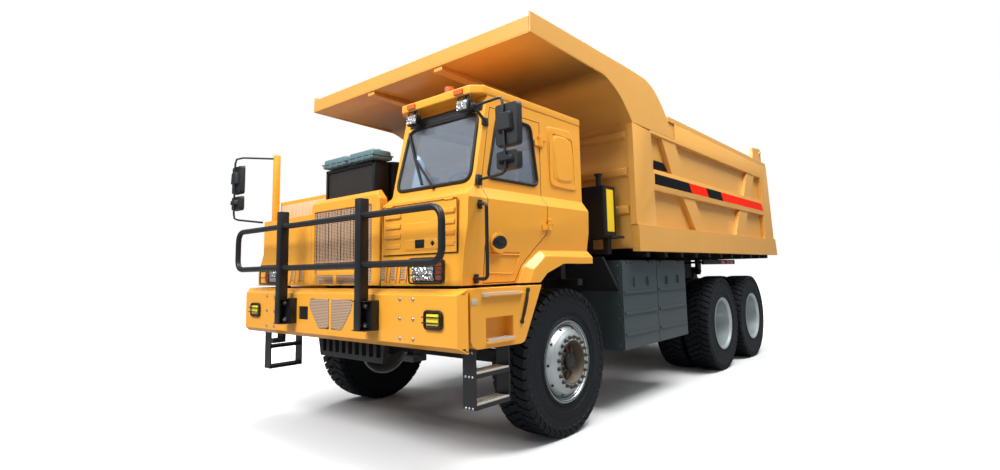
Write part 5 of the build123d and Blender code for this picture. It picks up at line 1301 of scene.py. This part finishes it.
MARKER_BAR = ((1484, 1520), (3729, 5170), (1562, 1634))
ARM_Y = (3800, 5100)
ARM_X = (470, 1500)
ARM_Z = (1586, 1612)
MARKERS = ((4458, 4648), (4723, 4860), (4884, 5034))
shape = bmesh.new()
slab(shape, *MARKER_BAR, 0.006)
for y in ARM_Y:
    slab(shape, ARM_X, (y - 25, y + 25), ARM_Z, 0.004)
piece("marker_bar", shape, black_coat, "truck", smooth=30)
shape = bmesh.new()
for along in MARKERS:
    slab(shape, (1518, 1532), along, (1572, 1626), 0.005)
piece("marker_lamps", shape, red_lens, "truck", smooth=30)

# ---------------------------------------------------------------- inside the cab
# Grained plastic dashboard and an air seat: a plastic base, and cushion and back of
# foam under dark woven cloth.
cab_plastic = finish("cab_plastic", (0.07, 0.07, 0.075), roughness=0.6, grain=300, relief=0.2, dust=0.0)
seat_cloth = finish("seat_cloth", (0.05, 0.052, 0.06), roughness=0.9, grain=500, relief=0.4, dust=0.0)
# cushion and base over three ranges; the back is made upright, then tilted and set down
CUSHION = ((880, 1300), (-405, 45), (1990, 2112))
BASE = ((950, 1230), (-370, -10), (1762, 1985))
BACK = ((-0.21, -0.05, 0), (0.21, 0.05, 0.62))
BACK_TILT = Matrix.Rotation(math.radians(-9), 3, "X")
BACK_FOOT = (1090, 95, 2075)
paint(cab_plastic, "dashboard")
shape = bmesh.new()
slab(shape, *CUSHION, 0.04)
cushion = piece("seat_cushion", shape, seat_cloth, "truck", smooth=60)
shape = bmesh.new()
block(shape, *BACK, 0.04)
bmesh.ops.rotate(shape, verts=shape.verts, cent=(0, 0, 0), matrix=BACK_TILT)
bmesh.ops.translate(shape, verts=shape.verts, vec=at(*BACK_FOOT))
backrest = piece("seat_back", shape, seat_cloth, "truck", smooth=60)
shape = bmesh.new()
slab(shape, *BASE, 0.02)
pedestal = piece("seat_base", shape, cab_plastic, "truck", smooth=30)
for soft in (cushion, backrest):
    round_off = soft.modifiers.new("crown", "SUBSURF")
    round_off.levels = round_off.render_levels = 2
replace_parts(pedestal, "seat")

# ---------------------------------------------------------------- side box
# Dark grey-green box of folded sheet with two ribbed doors hung from its top edge, and
# a row of rivets up its front edge.
RIVETS = 7
RIVET_X = 1.59
RIVET_PITCH = 0.142
FIRST_RIVET = 0.06
box_grey = finish("box_grey", (0.034, 0.05, 0.056), roughness=0.36, coat=0.1, relief=0.03, dust=0.08,
                  shine=0.4)
eased("side_box", 0.005, box_grey, "truck")
for half in ("front", "rear"):
    eased("box_door_" + half, 0.004, box_grey, "box_door_" + half)
_, box_front, box_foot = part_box("side_box")[0]
shape = bmesh.new()
for i in range(RIVETS):
    place = Vector((RIVET_X, box_front, box_foot + FIRST_RIVET + i * RIVET_PITCH))
    barrel(shape, place, place - Vector((0, 0.004, 0)), 0.009, 12)
piece("box_rivets", shape, zinc, "truck")

# ---------------------------------------------------------------- dump body
# Heavy welded plate in paler ochre: canopy, floor and walls, with hollow posts, rails
# and braces outside, and broad bands of black and red film along the middle rail.
body_ochre = finish("body_ochre", (0.69, 0.345, 0.07), roughness=0.38, coat=0.2, grain=30, dust=0.03,
                    shine=0.3)
film_black = finish("film_black", (0.003, 0.003, 0.004), roughness=0.45, relief=0.01, dust=0.0, shine=0.1)
film_red = finish("film_red", (0.95, 0.018, 0.0), roughness=0.45, relief=0.01, dust=0.0, shine=0.08)
for node, width in (("bed_shell", 0.004), ("canopy", 0.006), ("bed_frames", 0.009)):
    eased(node, width, body_ochre, "dump_bed", flat=False)
eased("tailgate", 0.006, body_ochre, "tailgate")
BAND_Z = (2521, 2650)
BAND_X = 1754.2
FILM = 0.0008
SLANT = 98
# film, front and rear edge at the foot; the ends slant forwards, but for the first
BANDS = ((film_black, 1665, 2823), (film_red, 2823, 3453), (film_black, 3453, 4071), (film_red, 4071, 6245))
UPPER_X = 1700
UPPER_BAND = ((1769, 2835), (2057, 2834), (2178, 2736), (1755, 2715))


def film(name, material, x, outline):
    """Thin film on both sides of the body, over an outline of places along and up."""
    shape = bmesh.new()
    for s in (1, -1):
        corners = [shape.verts.new(at(s * x, y, z)) for y, z in outline]
        draw_out(shape, shape.faces.new(corners), (s * FILM, 0, 0))
    piece(name, shape, material, "dump_bed")


for number, (material, y0, y1) in enumerate(BANDS):
    foot, top = BAND_Z
    start = y0 - SLANT if number else y0
    film("band_%d" % number, material, BAND_X, ((y0, foot), (y1, foot), (y1 - SLANT, top), (start, top)))
film("band_upper", film_black, UPPER_X, UPPER_BAND)
